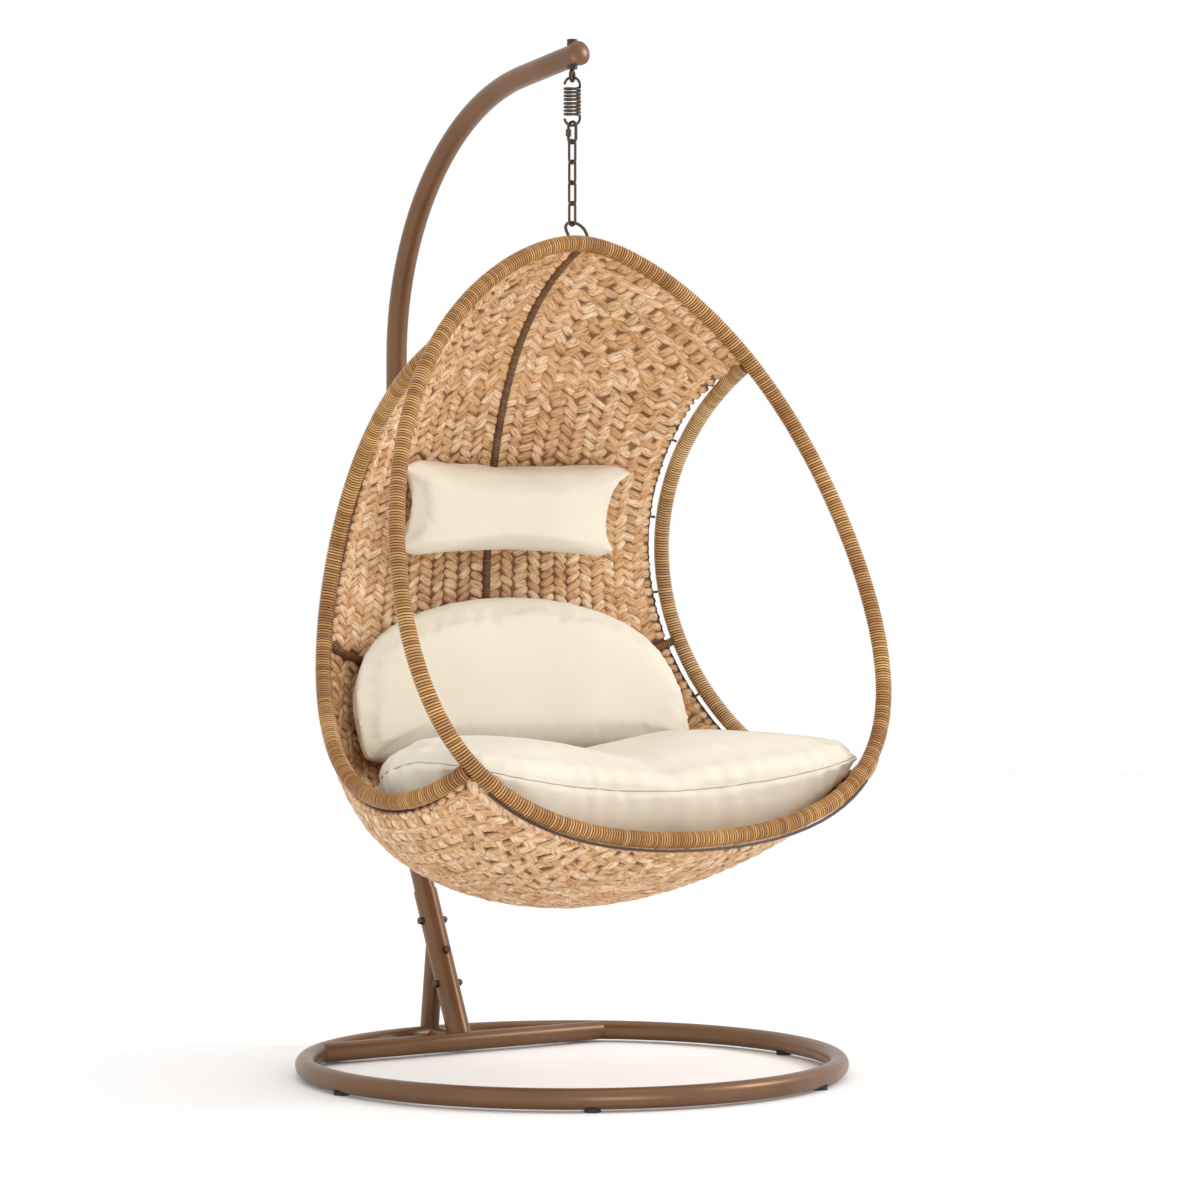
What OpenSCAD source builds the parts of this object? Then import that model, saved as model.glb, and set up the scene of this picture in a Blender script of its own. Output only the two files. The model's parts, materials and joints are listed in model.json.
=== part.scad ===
// Hanging egg chair: a woven egg-shaped basket hung by a spring and a chain from a C-shaped
// steel stand. Millimetres. +Z is up, the sitter faces -Y, and the origin is on the floor
// under the hook, at the centre of the base ring.

/* [Base] */
// Diameter of the base ring, along the middle of its tube
ring_d = 1007; // [850:1:1200]
// Outer diameter of the ring's and the strut's tubes
base_tube_d = 38; // [34:0.5:45]
// Outer diameter of the crossbar
crossbar_d = 37; // [30:0.5:37]
// Outer diameter of the link tube behind the crossbar
link_d = 35; // [28:0.5:35]
// Wall of the stand's tubes
tube_wall = 2; // [1.5:0.1:3]
// Distance of the crossbar in front of the ring's back
crossbar_in = 123.5; // [103:0.5:164]
// Height of the rubber glides under the ring
glide_h = 4; // [3:0.5:8]
// Diameter of a rubber glide
glide_d = 30; // [20:1:36]
// Number of rubber glides
glide_count = 6; // [3:1:10]

/* [Post] */
// Distance of the post's foot in front of the ring's back
foot_in = 103.5; // [93:0.5:118]
// Lean of the post, in degrees from upright
post_lean = 25; // [20:0.5:28]
// Length of the sleeve that holds the pole
sleeve_len = 305; // [280:1:340]
// Outer diameter of the sleeve
sleeve_d = 47; // [46.5:0.5:52]
// Length of the pole inside the sleeve
pole_insert = 225; // [215:1:235]
// Distance of the strut's foot behind the ring's back
strut_out = 10.5; // [3:0.5:16]
// Distance of the strut's head in front of the ring's back
strut_head_in = 15.5; // [10:0.5:23]
// Height of the strut's head above the foot
strut_rise = 200; // [190:1:210]

/* [Pole] */
// Outer diameter of the pole
pole_d = 42; // [40:0.5:42.5]
// Distance of the upright part of the pole behind the hook
pole_back = 640; // [600:1:660]
// Height of the middle of the pole above the floor, at the hook
hook_h = 1925; // [1850:1:2000]
// Radius of the bend at the top of the pole
top_bend_r = 520; // [480:1:540]
// Angle that the top bend turns through
top_bend = 84; // [80:0.5:88]
// Length of the pole past the hook
pole_nose = 18; // [16:1:30]
// Largest diameter of the domed cap on the pole's end
cap_d = 46; // [44:1:50]
// Thickness of the cap outside the pole
cap_t = 14; // [10:1:20]
// Length of the cap's plug inside the pole
cap_plug = 6; // [4:1:7]

/* [Fasteners] */
// Diameter of the bolts, the eye bolt's shank and the shank holes
bolt_d = 8; // [6:1:8]
// Width of the bolt heads and nuts across their corners
hex_d = 15; // [13:0.5:15.5]
// Height of a bolt head or nut
hex_h = 6; // [5:0.5:7]
// Diameter of a washer
washer_d = 16; // [15.5:0.5:17]
// Thickness of a washer
washer_t = 1.6; // [1:0.1:2]
// Space all round a bolt in its hole
bolt_gap = 0.3; // [0.2:0.05:0.5]
// Distance of the lower, middle and upper bolts up the sleeve
bolt_up = [108, 170, 242]; // [100:1:250]

/* [Hanger] */
// Outer diameter of the upright bush through the pole
bush_d = 20; // [19.5:0.5:22]
// Height of the bush above the middle of the pole
bush_up = 31; // [28:1:36]
// Depth of the bush below the middle of the pole
bush_down = 25; // [23:1:27]
// Depth of the bottom of the eye below the middle of the pole
eye_drop = 47; // [45:1:52]
// Diameter of the eye's wire
eye_wire = 7; // [6:0.5:8]
// Width of the eye between the middles of its sides
eye_w = 17; // [16:0.5:20]
// Turn of the eye about the vertical, in degrees
eye_turn = 35; // [20:1:50]
// Diameter of the spring's wire
spring_wire = 5.5; // [4.5:0.1:5.8]
// Diameter of the coil, along the middle of the wire
coil_d = 29; // [26:0.5:32]
// Rise of one turn of the coil
coil_pitch = 6.8; // [6.6:0.1:8]
// Number of turns in the coil, an even number
coil_turns = 8; // [6:2:10]
// Radius of the bend where the coil turns up into its end loops
loop_bend = 4; // [4:0.5:6]
// Turn of the spring's end loops about the vertical, in degrees
spring_turn = -35; // [-50:1:-20]

/* [Chain] */
// Diameter of the quick link's wire
quick_wire = 6; // [5:0.5:7]
// Length of the quick link between the middles of its ends
quick_len = 40; // [38:1:50]
// Width of the quick link between the middles of its sides
quick_w = 20; // [18:0.5:26]
// Diameter of the chain's wire
chain_wire = 5; // [4:0.5:6]
// Length inside one chain link
link_inside = 39.4; // [34:0.1:46]
// Width of a chain link between the middles of its sides
link_w = 16; // [15:0.5:20]
// Turn of the chain about the vertical, in degrees
chain_turn = 10; // [0:1:20]
// Gap between two links where they bear on each other
link_gap = 0.3; // [0.2:0.05:0.5]

/* [Basket frame] */
// Width of the basket between the middles of the rim's sides
basket_w = 1050; // [950:1:1080]
// Height of the rim, along the middle of its tube
basket_h = 1103; // [1000:1:1150]
// Depth of the basket from its front rim to its back
basket_depth = 700; // [650:1:720]
// Distance of the rim's top in front of the hook
rim_forward = 30; // [20:1:40]
// Height of the rim's loop, from the middle of the rim to the middle of the loop's wire
basket_loop_h = 42.5; // [38:0.5:50]
// Width of the rim's loop between the middles of its feet
basket_loop_w = 44; // [36:1:52]
// Diameter of the rim loop's wire
basket_loop_wire = 6; // [5:0.5:8]
// Diameter of the steel tubes inside the wickerwork
frame_tube_d = 25; // [20:1:26]
// Diameter of a tube with its wicker winding
wrap_d = 31; // [29:0.5:34]
// Gap between a tube and its winding
wrap_gap = 0.3; // [0.2:0.05:0.5]
// Diameter of the ribs on the inner face of the weave
rib_d = 17; // [14:0.5:20]
// Diameter of the thin edge rods
rod_d = 6; // [5:0.5:7]
// Open gap between a hoop's winding and its edge rod
rod_gap = 6.5; // [5:0.5:9]
// Clearance between an edge rod and the weave's edge
rod_clear = 1.5; // [1:0.1:3]
// Diameter of the ties that hold an edge rod
tie_d = 5; // [4:0.5:5.5]

/* [Basket weave] */
// Thickness of the woven shell
weave_t = 12; // [10:0.5:14]
// Clearance between the weave and what it meets
weave_gap = 0.3; // [0.2:0.05:0.5]

/* [Cushions] */
// Clearance between a cushion and what it rests on
pad_gap = 0.4; // [0.3:0.05:0.6]
// Drop of the seat cushion's seam below the rim's top, at its middle
seat_seam_drop = 1018; // [1005:1:1030]
// Rise of the seat cushion's seam at its sides
seat_side_rise = 52; // [40:1:65]
// Height of the seat cushion's two sides above the middle of its seam
seat_crown = 102; // [90:1:110]
// How much lower the seat cushion is along its middle
seat_dip = 38; // [20:1:45]
// Room between the seat cushion and the winding of the frame
seat_room = 8.5; // [5:0.5:14]
// Thickness of the back cushion
back_pad_t = 150; // [120:1:160]
// Room at each side of the back cushion, measured from the basket's full width
back_pad_room = 110; // [100:1:150]
// Drop of the back cushion's widest height below the rim's top
back_pad_drop = 898; // [880:1:910]
// Height of the back cushion's arch above its widest height
back_pad_up = 234; // [200:1:240]
// Height of the back cushion below its widest height
back_pad_down = 102; // [80:1:110]
// Thickness of the head pillow
pillow_t = 105; // [90:1:115]
// Width of the head pillow at its corners
pillow_w = 590; // [540:1:610]
// Height of the head pillow at its corners
pillow_h = 204; // [180:1:215]
// Drop of the head pillow's middle below the rim's top
pillow_drop = 481; // [470:1:490]
// How far the head pillow's short sides are drawn in between its corners
pillow_draw = 36; // [20:1:45]
// How far the head pillow's long sides are drawn in between its corners
pillow_sag = 17; // [6:1:20]

/* [Hidden] */
$fn = 48;

bronze = [0.55, 0.36, 0.24];
dark_bronze = [0.22, 0.15, 0.10];
rubber_black = [0.08, 0.08, 0.08];
winding = [0.68, 0.47, 0.22];
rib_brown = [0.36, 0.22, 0.12];
straw = [0.86, 0.70, 0.50];
ivory = [0.94, 0.90, 0.80];

// Stand
ring_r = ring_d / 2;
base_tube_r = base_tube_d / 2;
ring_z = glide_h + base_tube_r;
crossbar_back = ring_r - crossbar_in;
crossbar_half = sqrt(pow(ring_r, 2) - pow(crossbar_back, 2));
foot_up = 11;
foot = [ring_r - foot_in, ring_z + foot_up];
up_post = [sin(post_lean), cos(post_lean)];
sleeve_top = foot + up_post * sleeve_len;
low_bend_r = (pole_back - sleeve_top[0]) / (1 - cos(post_lean));
low_bend_z = sleeve_top[1] + low_bend_r * sin(post_lean);
bend_end_back = pole_back - top_bend_r * (1 - cos(top_bend));
arm_len = bend_end_back / sin(top_bend);
arm_rise = arm_len * cos(top_bend);
top_bend_z = hook_h - arm_rise - top_bend_r * sin(top_bend);
pole_r = pole_d / 2;
sleeve_slack = 0.2;
weld_w = 4;
weld_h = 0.1;
hole_d = bolt_d + 2 * bolt_gap;
nut_pocket_d = hex_d + 1.4;
nut_pocket_h = 10;

// Hanger and chain, from the top down: the height of each end of each loop
eye_z = hook_h - eye_drop;
// The spring's end loop and the quick link cross at 45 degrees, so their wires meet beside the middle
skew_gap = 1;
spring_top_z = eye_z + eye_wire / 2 + spring_wire / 2 + link_gap;
coil_r = coil_d / 2;
spring_len = coil_turns * coil_pitch + 2 * loop_bend + coil_d;
spring_low_z = spring_top_z - spring_len;
quick_top_z = spring_low_z + spring_wire / 2 + quick_wire / 2 + link_gap + skew_gap;
quick_low_z = quick_top_z - quick_len;
first_link_z = quick_low_z + quick_wire / 2 + chain_wire / 2 + link_gap;
link_len = link_inside + chain_wire;
link_step = link_inside - link_gap;
link_count = 4;
chain_low_z = first_link_z - (link_count - 1) * link_step - link_len;
basket_loop_z = chain_low_z + chain_wire / 2 + basket_loop_wire / 2 + link_gap;

// Basket: shares of half the width, of the depth and of the height, from the rim's top
rim_top = [0, -rim_forward, basket_loop_z - basket_loop_h];
rim_shape = [[0, 0, 0], [0.37, 0, 0], [0.89, -0.055, 0.2], [1, -0.14, 0.36],
    [1.02, -0.305, 0.605], [1.2, -0.46, 0.835], [0.92, -0.515, 1], [0, -0.515, 1]];
hoop_shape = [[0.7, 0.465, 0.335], [0.62, 0.595, 0.66], [0.94, 0.355, 0.91], [1.08, -0.175, 1.03]];
spine_shape = [[0, 0.64, 0.165], [0, 0.505, 0.6], [0, 0.445, 0.995], [0, 0.59, 1.155], [0, 0.14, 1.255]];
// Where on the rim the hoops start and end, as the curve's own share
hoop_start = 0.27;
hoop_end = 0.785;
// Where the basket's upper and lower halves meet, as a share of the hoop
waist = 0.445;
// Angle of the elliptic arc from the spine to the edge, where it meets the edge
arc_end = 75;

function place(p) = rim_top + [p[0] * basket_w / 2, p[1] * basket_depth, -p[2] * basket_h];
function bezier(c, t) = len(c) == 1 ? c[0]
    : bezier([for (i = [0:len(c) - 2]) c[i] * (1 - t) + c[i + 1] * t], t);
rim_points = [for (p = rim_shape) place(p)];
function rim_at(t) = bezier(rim_points, t);
hoop_points = concat([rim_at(hoop_start)], [for (p = hoop_shape) place(p)], [rim_at(hoop_end)]);
function hoop_at(t) = bezier(hoop_points, t);
spine_points = concat([rim_points[0]], [for (p = spine_shape) place(p)], [rim_points[7]]);
function spine_at(t) = bezier(spine_points, t);

// The shell's edge, for u from 0 to 3: down the rim, down the hoop, along the lower rim
function edge_at(u) = u < 1 ? rim_at(hoop_start * u)
    : u < 2 ? hoop_at(u - 1) : rim_at(hoop_end + (1 - hoop_end) * (u - 2));
function lengths(path) = [for (i = 0, s = 0; i < len(path);
    s = s + (i + 1 < len(path) ? norm(path[i + 1] - path[i]) : 0), i = i + 1) s];
table_steps = 60;
edge_lengths = lengths([for (i = [0:table_steps]) edge_at(3 * i / table_steps)]);
spine_lengths = lengths([for (i = [0:table_steps]) spine_at(i / table_steps)]);
spine_table = [for (i = [0:table_steps]) [spine_lengths[i] / spine_lengths[table_steps], i / table_steps]];
row_table = [for (i = [0:table_steps])
    [3 * i / table_steps, lookup(edge_lengths[i] / edge_lengths[table_steps], spine_table)]];

function unit(v) = v / norm(v);
// A point of the shell's middle surface: v is 0 at the spine and 1 or -1 at an edge
function weave_at(u, v) =
    let (e = edge_at(u), s = spine_at(lookup(u, row_table)), a = abs(v) * arc_end,
        across = sin(a) / sin(arc_end), out = (1 - cos(a)) / (1 - cos(arc_end)))
    [sign(v) * e[0] * across, s[1] + (e[1] - s[1]) * out, s[2] + (e[2] - s[2]) * out];
// The same point moved towards the sitter
function inside_at(u, v, inward) =
    let (d = 0.01, along = weave_at(min(u + d, 3), v) - weave_at(max(u - d, 0), v),
        over = weave_at(u, v + d) - weave_at(u, v - d))
    weave_at(u, v) + unit(cross(along, over)) * inward;
// The edge's direction, and the share v that lies a real distance in from the edge
function edge_way(u) = let (part = u < 1 ? 0 : u < 2 ? 1 : 2)
    unit(edge_at(min(part + 1, u + 0.01)) - edge_at(max(part, u - 0.01)));
function edge_share(u, inset) =
    1 - inset * 0.04 / norm(cross(weave_at(u, 1) - weave_at(u, 0.96), edge_way(u)));

wrap_r = wrap_d / 2;
rod_inset = wrap_r + rod_gap + rod_d / 2;
shell_inset = rod_inset + rod_d / 2 + rod_clear;
rib_inward = weave_t / 2;
// The cushions' flat facets sag below their points, more so in the wider seat cushion
back_sag = 0.9;
seat_sag = 2.9;
pad_lift = rib_inward + rib_d / 2 + pad_gap + back_sag;
seat_lift = pad_lift + seat_sag - back_sag;

// Frames and tubes along a path
function path_tangents(path, closed) = let (n = len(path))
    [for (i = [0:n - 1]) unit(closed ? path[(i + 1) % n] - path[(i + n - 1) % n]
        : path[min(i + 1, n - 1)] - path[max(i - 1, 0)])];
function square_to(v, t) = unit(v - t * (v * t));
// Sides of the tube that do not twist from ring to ring
function carried_sides(tangents, first) = [for (i = 0, s = square_to(first, tangents[0]); i < len(tangents);
    i = i + 1, s = i < len(tangents) ? square_to(s, tangents[i]) : s) s];
function tube_rings(path, r, sides, closed, first, carried) =
    let (t = path_tangents(path, closed),
        a = carried ? carried_sides(t, first) : [for (d = t) square_to(first, d)])
    [for (i = [0:len(path) - 1]) for (k = [0:sides - 1])
        path[i] + (a[i] * cos(360 * k / sides) + cross(t[i], a[i]) * sin(360 * k / sides)) * r];
function skin_faces(rings, sides, closed, start = 0) =
    [for (i = [0:rings - (closed ? 1 : 2)]) for (k = [0:sides - 1]) each
        let (a = start + i * sides, b = start + ((i + 1) % rings) * sides, l = (k + 1) % sides)
        [[a + k, a + l, b + l], [a + k, b + l, b + k]]];
function fan(first, count, turned) = [for (k = [1:count - 2])
    turned ? [first, first + k + 1, first + k] : [first, first + k, first + k + 1]];
function flipped(faces) = [for (f = faces) [f[0], f[2], f[1]]];

module tube(path, r, sides, first, closed = false, carried = false) {
    rings = len(path);
    points = tube_rings(path, r, sides, closed, first, carried);
    ends = closed ? [] : concat(fan(0, sides, false), fan((rings - 1) * sides, sides, true));
    polyhedron(points, concat(flipped(skin_faces(rings, sides, closed)), ends));
}

module hollow_tube(path, r, inner, sides, first, closed = false) {
    rings = len(path);
    n = rings * sides;
    outside = tube_rings(path, r, sides, closed, first, false);
    inside = tube_rings(path, inner, sides, closed, first, false);
    last = (rings - 1) * sides;
    ends = closed ? [] : [for (k = [0:sides - 1]) each let (l = (k + 1) % sides)
        [[k, l, n + l], [k, n + l, n + k],
         [last + l, last + k, n + last + k], [last + l, n + last + k, n + last + l]]];
    polyhedron(concat(outside, inside), concat(flipped(skin_faces(rings, sides, closed)),
        skin_faces(rings, sides, closed, n), ends));
}

// Places what is drawn in a plane with X to the back and Y up
module upright() {
    rotate([90, 0, 90]) children();
}

// Puts a Z axis at a point of the upright plane, turned down from the vertical towards the back
module on_post(point, lean) {
    translate([0, point[0], point[1]]) rotate([-lean, 0, 0]) children();
}

module ring_solid() {
    translate([0, 0, ring_z]) rotate_extrude($fn = 96) translate([ring_r, 0]) circle(base_tube_r);
}

module base_ring() {
    color(bronze) translate([0, 0, ring_z]) rotate_extrude($fn = 96) translate([ring_r, 0])
        difference() {
            circle(base_tube_r);
            circle(base_tube_r - tube_wall);
        }
}

module crossbar_solid() {
    translate([-crossbar_half, crossbar_back, ring_z]) rotate([0, 90, 0])
        cylinder(d = crossbar_d, h = 2 * crossbar_half);
}

module base_crossbar() {
    color(bronze) difference() {
        crossbar_solid();
        translate([-ring_r, crossbar_back, ring_z]) rotate([0, 90, 0])
            cylinder(d = crossbar_d - 2 * tube_wall, h = ring_d);
        ring_solid();
    }
}

module link_solid() {
    translate([0, crossbar_back, ring_z]) rotate([-90, 0, 0])
        cylinder(d = link_d, h = ring_r - crossbar_back);
}

module base_link_tube() {
    color(bronze) difference() {
        link_solid();
        translate([0, crossbar_back, ring_z]) rotate([-90, 0, 0])
            cylinder(d = link_d - 2 * tube_wall, h = ring_r);
        ring_solid();
        crossbar_solid();
    }
}

module base_glides() {
    color(rubber_black) for (i = [0:glide_count - 1]) rotate([0, 0, 360 * i / glide_count])
        difference() {
            translate([ring_r, 0, 0]) cylinder(d = glide_d, h = glide_h + 3);
            ring_solid();
        }
}

module sleeve_solid() {
    on_post(foot - up_post * base_tube_d, post_lean) cylinder(d = sleeve_d, h = sleeve_len + base_tube_d);
}

// Holes for the bolts across the post, and for the one in the plane of the pole
module post_holes() {
    for (up = [bolt_up[0], bolt_up[2]]) on_post(foot + up_post * up, post_lean)
        translate([-sleeve_d, 0, 0]) rotate([0, 90, 0]) cylinder(d = hole_d, h = 2 * sleeve_d);
    on_post(foot + up_post * bolt_up[1], post_lean)
        translate([0, sleeve_d, 0]) rotate([90, 0, 0]) cylinder(d = hole_d, h = 2 * sleeve_d);
}

module post_sleeve() {
    color(bronze) difference() {
        sleeve_solid();
        on_post(foot - up_post * base_tube_d, post_lean)
            cylinder(d = pole_d + 2 * sleeve_slack, h = sleeve_len + 2 * base_tube_d);
        translate([-sleeve_d, 0, -base_tube_d]) cube([2 * sleeve_d, ring_r, base_tube_d + ring_z]);
        crossbar_solid();
        link_solid();
        post_holes();
    }
}

strut_foot = [ring_r + strut_out, ring_z];
strut_head = [ring_r - strut_head_in, ring_z + strut_rise];
strut_lean = atan2(strut_head[0] - strut_foot[0], strut_head[1] - strut_foot[1]);
strut_len = norm(strut_head - strut_foot);

module rear_strut() {
    color(bronze) difference() {
        on_post(strut_foot, strut_lean) cylinder(d = base_tube_d, h = strut_len);
        on_post(strut_foot, strut_lean) translate([0, 0, -1])
            cylinder(d = base_tube_d - 2 * tube_wall, h = strut_len + 2);
        sleeve_solid();
        ring_solid();
        link_solid();
        strut_nut_room();
    }
}

// The pole's line from the arm's end to the foot, as a solid of radius r that reaches past both ends
module pole_run(r, past) {
    upright_len = top_bend_z - low_bend_z;
    upright() translate([pole_back - top_bend_r, top_bend_z]) {
        rotate_extrude(angle = top_bend, $fn = 96) translate([top_bend_r, 0]) circle(r);
        rotate([0, 0, top_bend]) translate([top_bend_r, 0, 0]) rotate([-90, 0, 0]) {
            cylinder(r = r, h = arm_len + pole_nose + past);
            translate([0, 0, -weld_w / 2]) cylinder(r = r + weld_h, h = weld_w);
        }
        translate([top_bend_r, 0, 0]) rotate([90, 0, 0]) cylinder(r = r, h = upright_len);
        translate([top_bend_r - low_bend_r, -upright_len, 0]) mirror([0, 1, 0]) {
            rotate_extrude(angle = post_lean, $fn = 96) translate([low_bend_r, 0]) circle(r);
            rotate([0, 0, post_lean]) translate([low_bend_r, 0, 0]) rotate([-90, 0, 0]) {
                cylinder(r = r, h = pole_insert + past);
                translate([0, 0, -weld_w / 2]) cylinder(r = r + weld_h, h = weld_w);
            }
        }
    }
}

module main_pole() {
    color(bronze) difference() {
        pole_run(pole_r, 0);
        pole_run(pole_r - tube_wall, 1);
        post_holes();
        translate([0, 0, hook_h - pole_d]) cylinder(d = bush_d, h = 2 * pole_d);
    }
}

nose = [0, hook_h] + [-sin(top_bend), cos(top_bend)] * pole_nose;

module pole_end_cap() {
    dome_r = (pow(cap_d / 2, 2) + pow(cap_t / 2, 2)) / cap_t;
    color(bronze) on_post(nose, -top_bend) rotate_extrude() union() {
        intersection() {
            translate([0, cap_t - dome_r]) circle(dome_r, $fn = 96);
            square([cap_d / 2, cap_t]);
        }
        translate([0, -cap_plug]) square([pole_r - tube_wall - sleeve_slack, cap_plug + cap_t / 2]);
    }
}

module pole_bush() {
    color(dark_bronze) difference() {
        translate([0, 0, hook_h - bush_down]) cylinder(d = bush_d, h = bush_down + bush_up);
        translate([0, 0, hook_h - pole_d]) cylinder(d = hole_d, h = 2 * pole_d);
        translate([0, 0, hook_h + bush_up - nut_pocket_h]) cylinder(d = nut_pocket_d, h = pole_d);
    }
}

// A bolt along its own Z axis, with its head below and its middle at the origin
module bolt(grip) {
    translate([0, 0, -grip / 2 - washer_t - hex_h]) cylinder(d = hex_d, h = hex_h, $fn = 6);
    translate([0, 0, -grip / 2 - washer_t - 0.01])
        cylinder(d = bolt_d, h = grip + 2 * washer_t + hex_h + 3.01);
}

module nut() {
    difference() {
        cylinder(d = hex_d, h = hex_h, $fn = 6);
        translate([0, 0, -1]) cylinder(d = bolt_d, h = hex_h + 2);
    }
}

module washer() {
    difference() {
        cylinder(d = washer_d, h = washer_t);
        translate([0, 0, -1]) cylinder(d = hole_d, h = washer_t + 2);
    }
}

// Puts a bolt's frame at each of the post's three bolts
module at_post_bolts() {
    for (up = [bolt_up[0], bolt_up[2]]) on_post(foot + up_post * up, post_lean) rotate([0, 90, 0]) children();
    on_post(foot + up_post * bolt_up[1], post_lean) rotate([-90, 0, 0]) children();
}

module strut_nut_room() {
    on_post(foot + up_post * bolt_up[1], post_lean) rotate([-90, 0, 0])
        translate([0, 0, sleeve_d / 2]) cylinder(d = washer_d + 1, h = 30);
}

module post_bolts() {
    color(dark_bronze) at_post_bolts() bolt(sleeve_d);
}

module post_nuts() {
    color(dark_bronze) at_post_bolts() translate([0, 0, sleeve_d / 2 + washer_t]) nut();
}

module post_washers() {
    color(dark_bronze) at_post_bolts() for (z = [-sleeve_d / 2 - washer_t, sleeve_d / 2])
        translate([0, 0, z]) washer();
}

// A closed link in the XZ plane: two half rings joined by straight sides, hung from z = 0
module link(length, width, wire) {
    r = width / 2;
    straight = length - width;
    translate([0, 0, -r]) rotate([90, 0, 0]) rotate_extrude(angle = 180) translate([r, 0]) circle(d = wire);
    translate([0, 0, r - length]) rotate([-90, 0, 0])
        rotate_extrude(angle = 180) translate([r, 0]) circle(d = wire);
    for (x = [-r, r]) translate([x, 0, r - length]) cylinder(d = wire, h = straight);
}

module eye_bolt() {
    seat_z = hook_h + bush_up - nut_pocket_h + washer_t + 0.1;
    shoulder = eye_drop - bush_down - eye_wire / 2 - bolt_gap;
    color(dark_bronze) union() {
        translate([0, 0, eye_z + shoulder]) cylinder(d = bolt_d, h = seat_z + hex_h + 2 - eye_z - shoulder);
        translate([0, 0, eye_z + shoulder]) rotate([0, 0, eye_turn]) link(shoulder, eye_w, eye_wire);
    }
}

module eye_bolt_nut() {
    color(dark_bronze) translate([0, 0, hook_h + bush_up - nut_pocket_h + washer_t + 0.1]) nut();
}

module eye_bolt_washer() {
    color(dark_bronze) translate([0, 0, hook_h + bush_up - nut_pocket_h]) washer();
}

// The spring's wire, from the open end of its top loop to its middle
coil_steps = 8;
function turned(p, a) = [p[0] * cos(a) - p[1] * sin(a), p[0] * sin(a) + p[1] * cos(a), p[2]];
coil_top_z = spring_top_z - coil_r - loop_bend;
bend_share = loop_bend / coil_r * 180 / PI;
upper_half = concat(
    [for (a = [175:-25:0]) [coil_r * cos(a), 0, spring_top_z - coil_r + coil_r * sin(a)]],
    [for (b = [30:30:60]) let (a = bend_share * (1 - cos(b)))
        [coil_r * cos(a), coil_r * sin(a), coil_top_z + loop_bend * (1 - sin(b))]],
    [for (k = [0:coil_turns / 2 * coil_steps - 1]) let (a = bend_share + 360 * k / coil_steps)
        [coil_r * cos(a), coil_r * sin(a), coil_top_z - coil_pitch * k / coil_steps]]);
spring_middle_z = (spring_top_z + spring_low_z) / 2;
lower_half = [for (i = [len(upper_half) - 1:-1:0]) let (p = upper_half[i])
    [p[0], -p[1], 2 * spring_middle_z - p[2]]];
spring_path = [for (p = concat(upper_half, [[coil_r, 0, spring_middle_z]], lower_half)) turned(p, spring_turn)];
function least(v) = min(v);
// The least gap between stretches of the wire that are at least half a turn apart
spring_gap = least([for (i = [0:len(spring_path) - 1]) for (j = [i + 4:1:len(spring_path) - 1])
    norm(spring_path[i] - spring_path[j])]) - spring_wire;

module spring() {
    echo(least_gap_of_spring = spring_gap);
    color(dark_bronze) tube(spring_path, spring_wire / 2, 6, [1, 0, 0], carried = true);
}

module quick_link() {
    color(dark_bronze) difference() {
        translate([0, 0, quick_top_z]) rotate([0, 0, quick_turn]) link(quick_len, quick_w, quick_wire);
        quick_nut_room();
    }
}

quick_turn = chain_turn + 90;
quick_nut_h = 13;
quick_nut_d = 11;
quick_nut_bore = quick_wire - 0.4;
quick_nut_z = quick_top_z - quick_len / 2 - quick_nut_h / 2;

module quick_nut_room() {
    translate([0, 0, quick_nut_z]) rotate([0, 0, quick_turn]) translate([quick_w / 2, 0, 0])
        difference() {
            cylinder(d = quick_nut_d, h = quick_nut_h);
            translate([0, 0, -1]) cylinder(d = quick_nut_bore, h = quick_nut_h + 2);
        }
}

module quick_link_nut() {
    color(dark_bronze) translate([0, 0, quick_nut_z]) rotate([0, 0, quick_turn]) translate([quick_w / 2, 0, 0])
        difference() {
            cylinder(d = quick_nut_d, h = quick_nut_h, $fn = 6);
            translate([0, 0, -1]) cylinder(d = quick_nut_bore, h = quick_nut_h + 2);
        }
}

module chain_link(index) {
    color(dark_bronze) translate([0, 0, first_link_z - index * link_step])
        rotate([0, 0, chain_turn + (index % 2 == 0 ? 0 : 90)]) link(link_len, link_w, chain_wire);
}

// The wire bow on the rim that the chain carries
module basket_loop() {
    r = basket_loop_w / 2;
    rise = basket_loop_h - r;
    tilt = atan2(rim_forward, basket_loop_h);
    color(dark_bronze) difference() {
        translate([0, 0, basket_loop_z]) rotate([-tilt, 0, 0]) union() {
            translate([0, 0, -r]) rotate([90, 0, 0]) rotate_extrude(angle = 180)
                translate([r, 0]) circle(d = basket_loop_wire);
            for (x = [-r, r]) translate([x, 0, -r - rise - 6]) cylinder(d = basket_loop_wire, h = rise + 6);
        }
        rim_cutter(wrap_r);
    }
}

rim_rings = 56;
hoop_rings = 30;
rim_sides = 10;
rim_normal = [0, 1, -0.35];
rim_path = concat([for (i = [0:rim_rings / 2 - 1]) rim_at(2 * i / rim_rings)],
    [for (i = [0:rim_rings / 2 - 1]) let (p = rim_at(1 - 2 * i / rim_rings)) [-p[0], p[1], p[2]]]);
function sided(p, side) = [p[0] * side, p[1], p[2]];
function hoop_path(side) = [for (i = [0:hoop_rings]) sided(hoop_at(i / hoop_rings), side)];

module rim_cutter(r) {
    tube(rim_path, r, rim_sides, rim_normal, closed = true);
}

module hoop_cutter(side, r) {
    tube(hoop_path(side), r, rim_sides, [1, 0, 0]);
}

module front_rim() {
    color(bronze) tube(rim_path, frame_tube_d / 2, rim_sides, rim_normal, closed = true);
}

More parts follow.
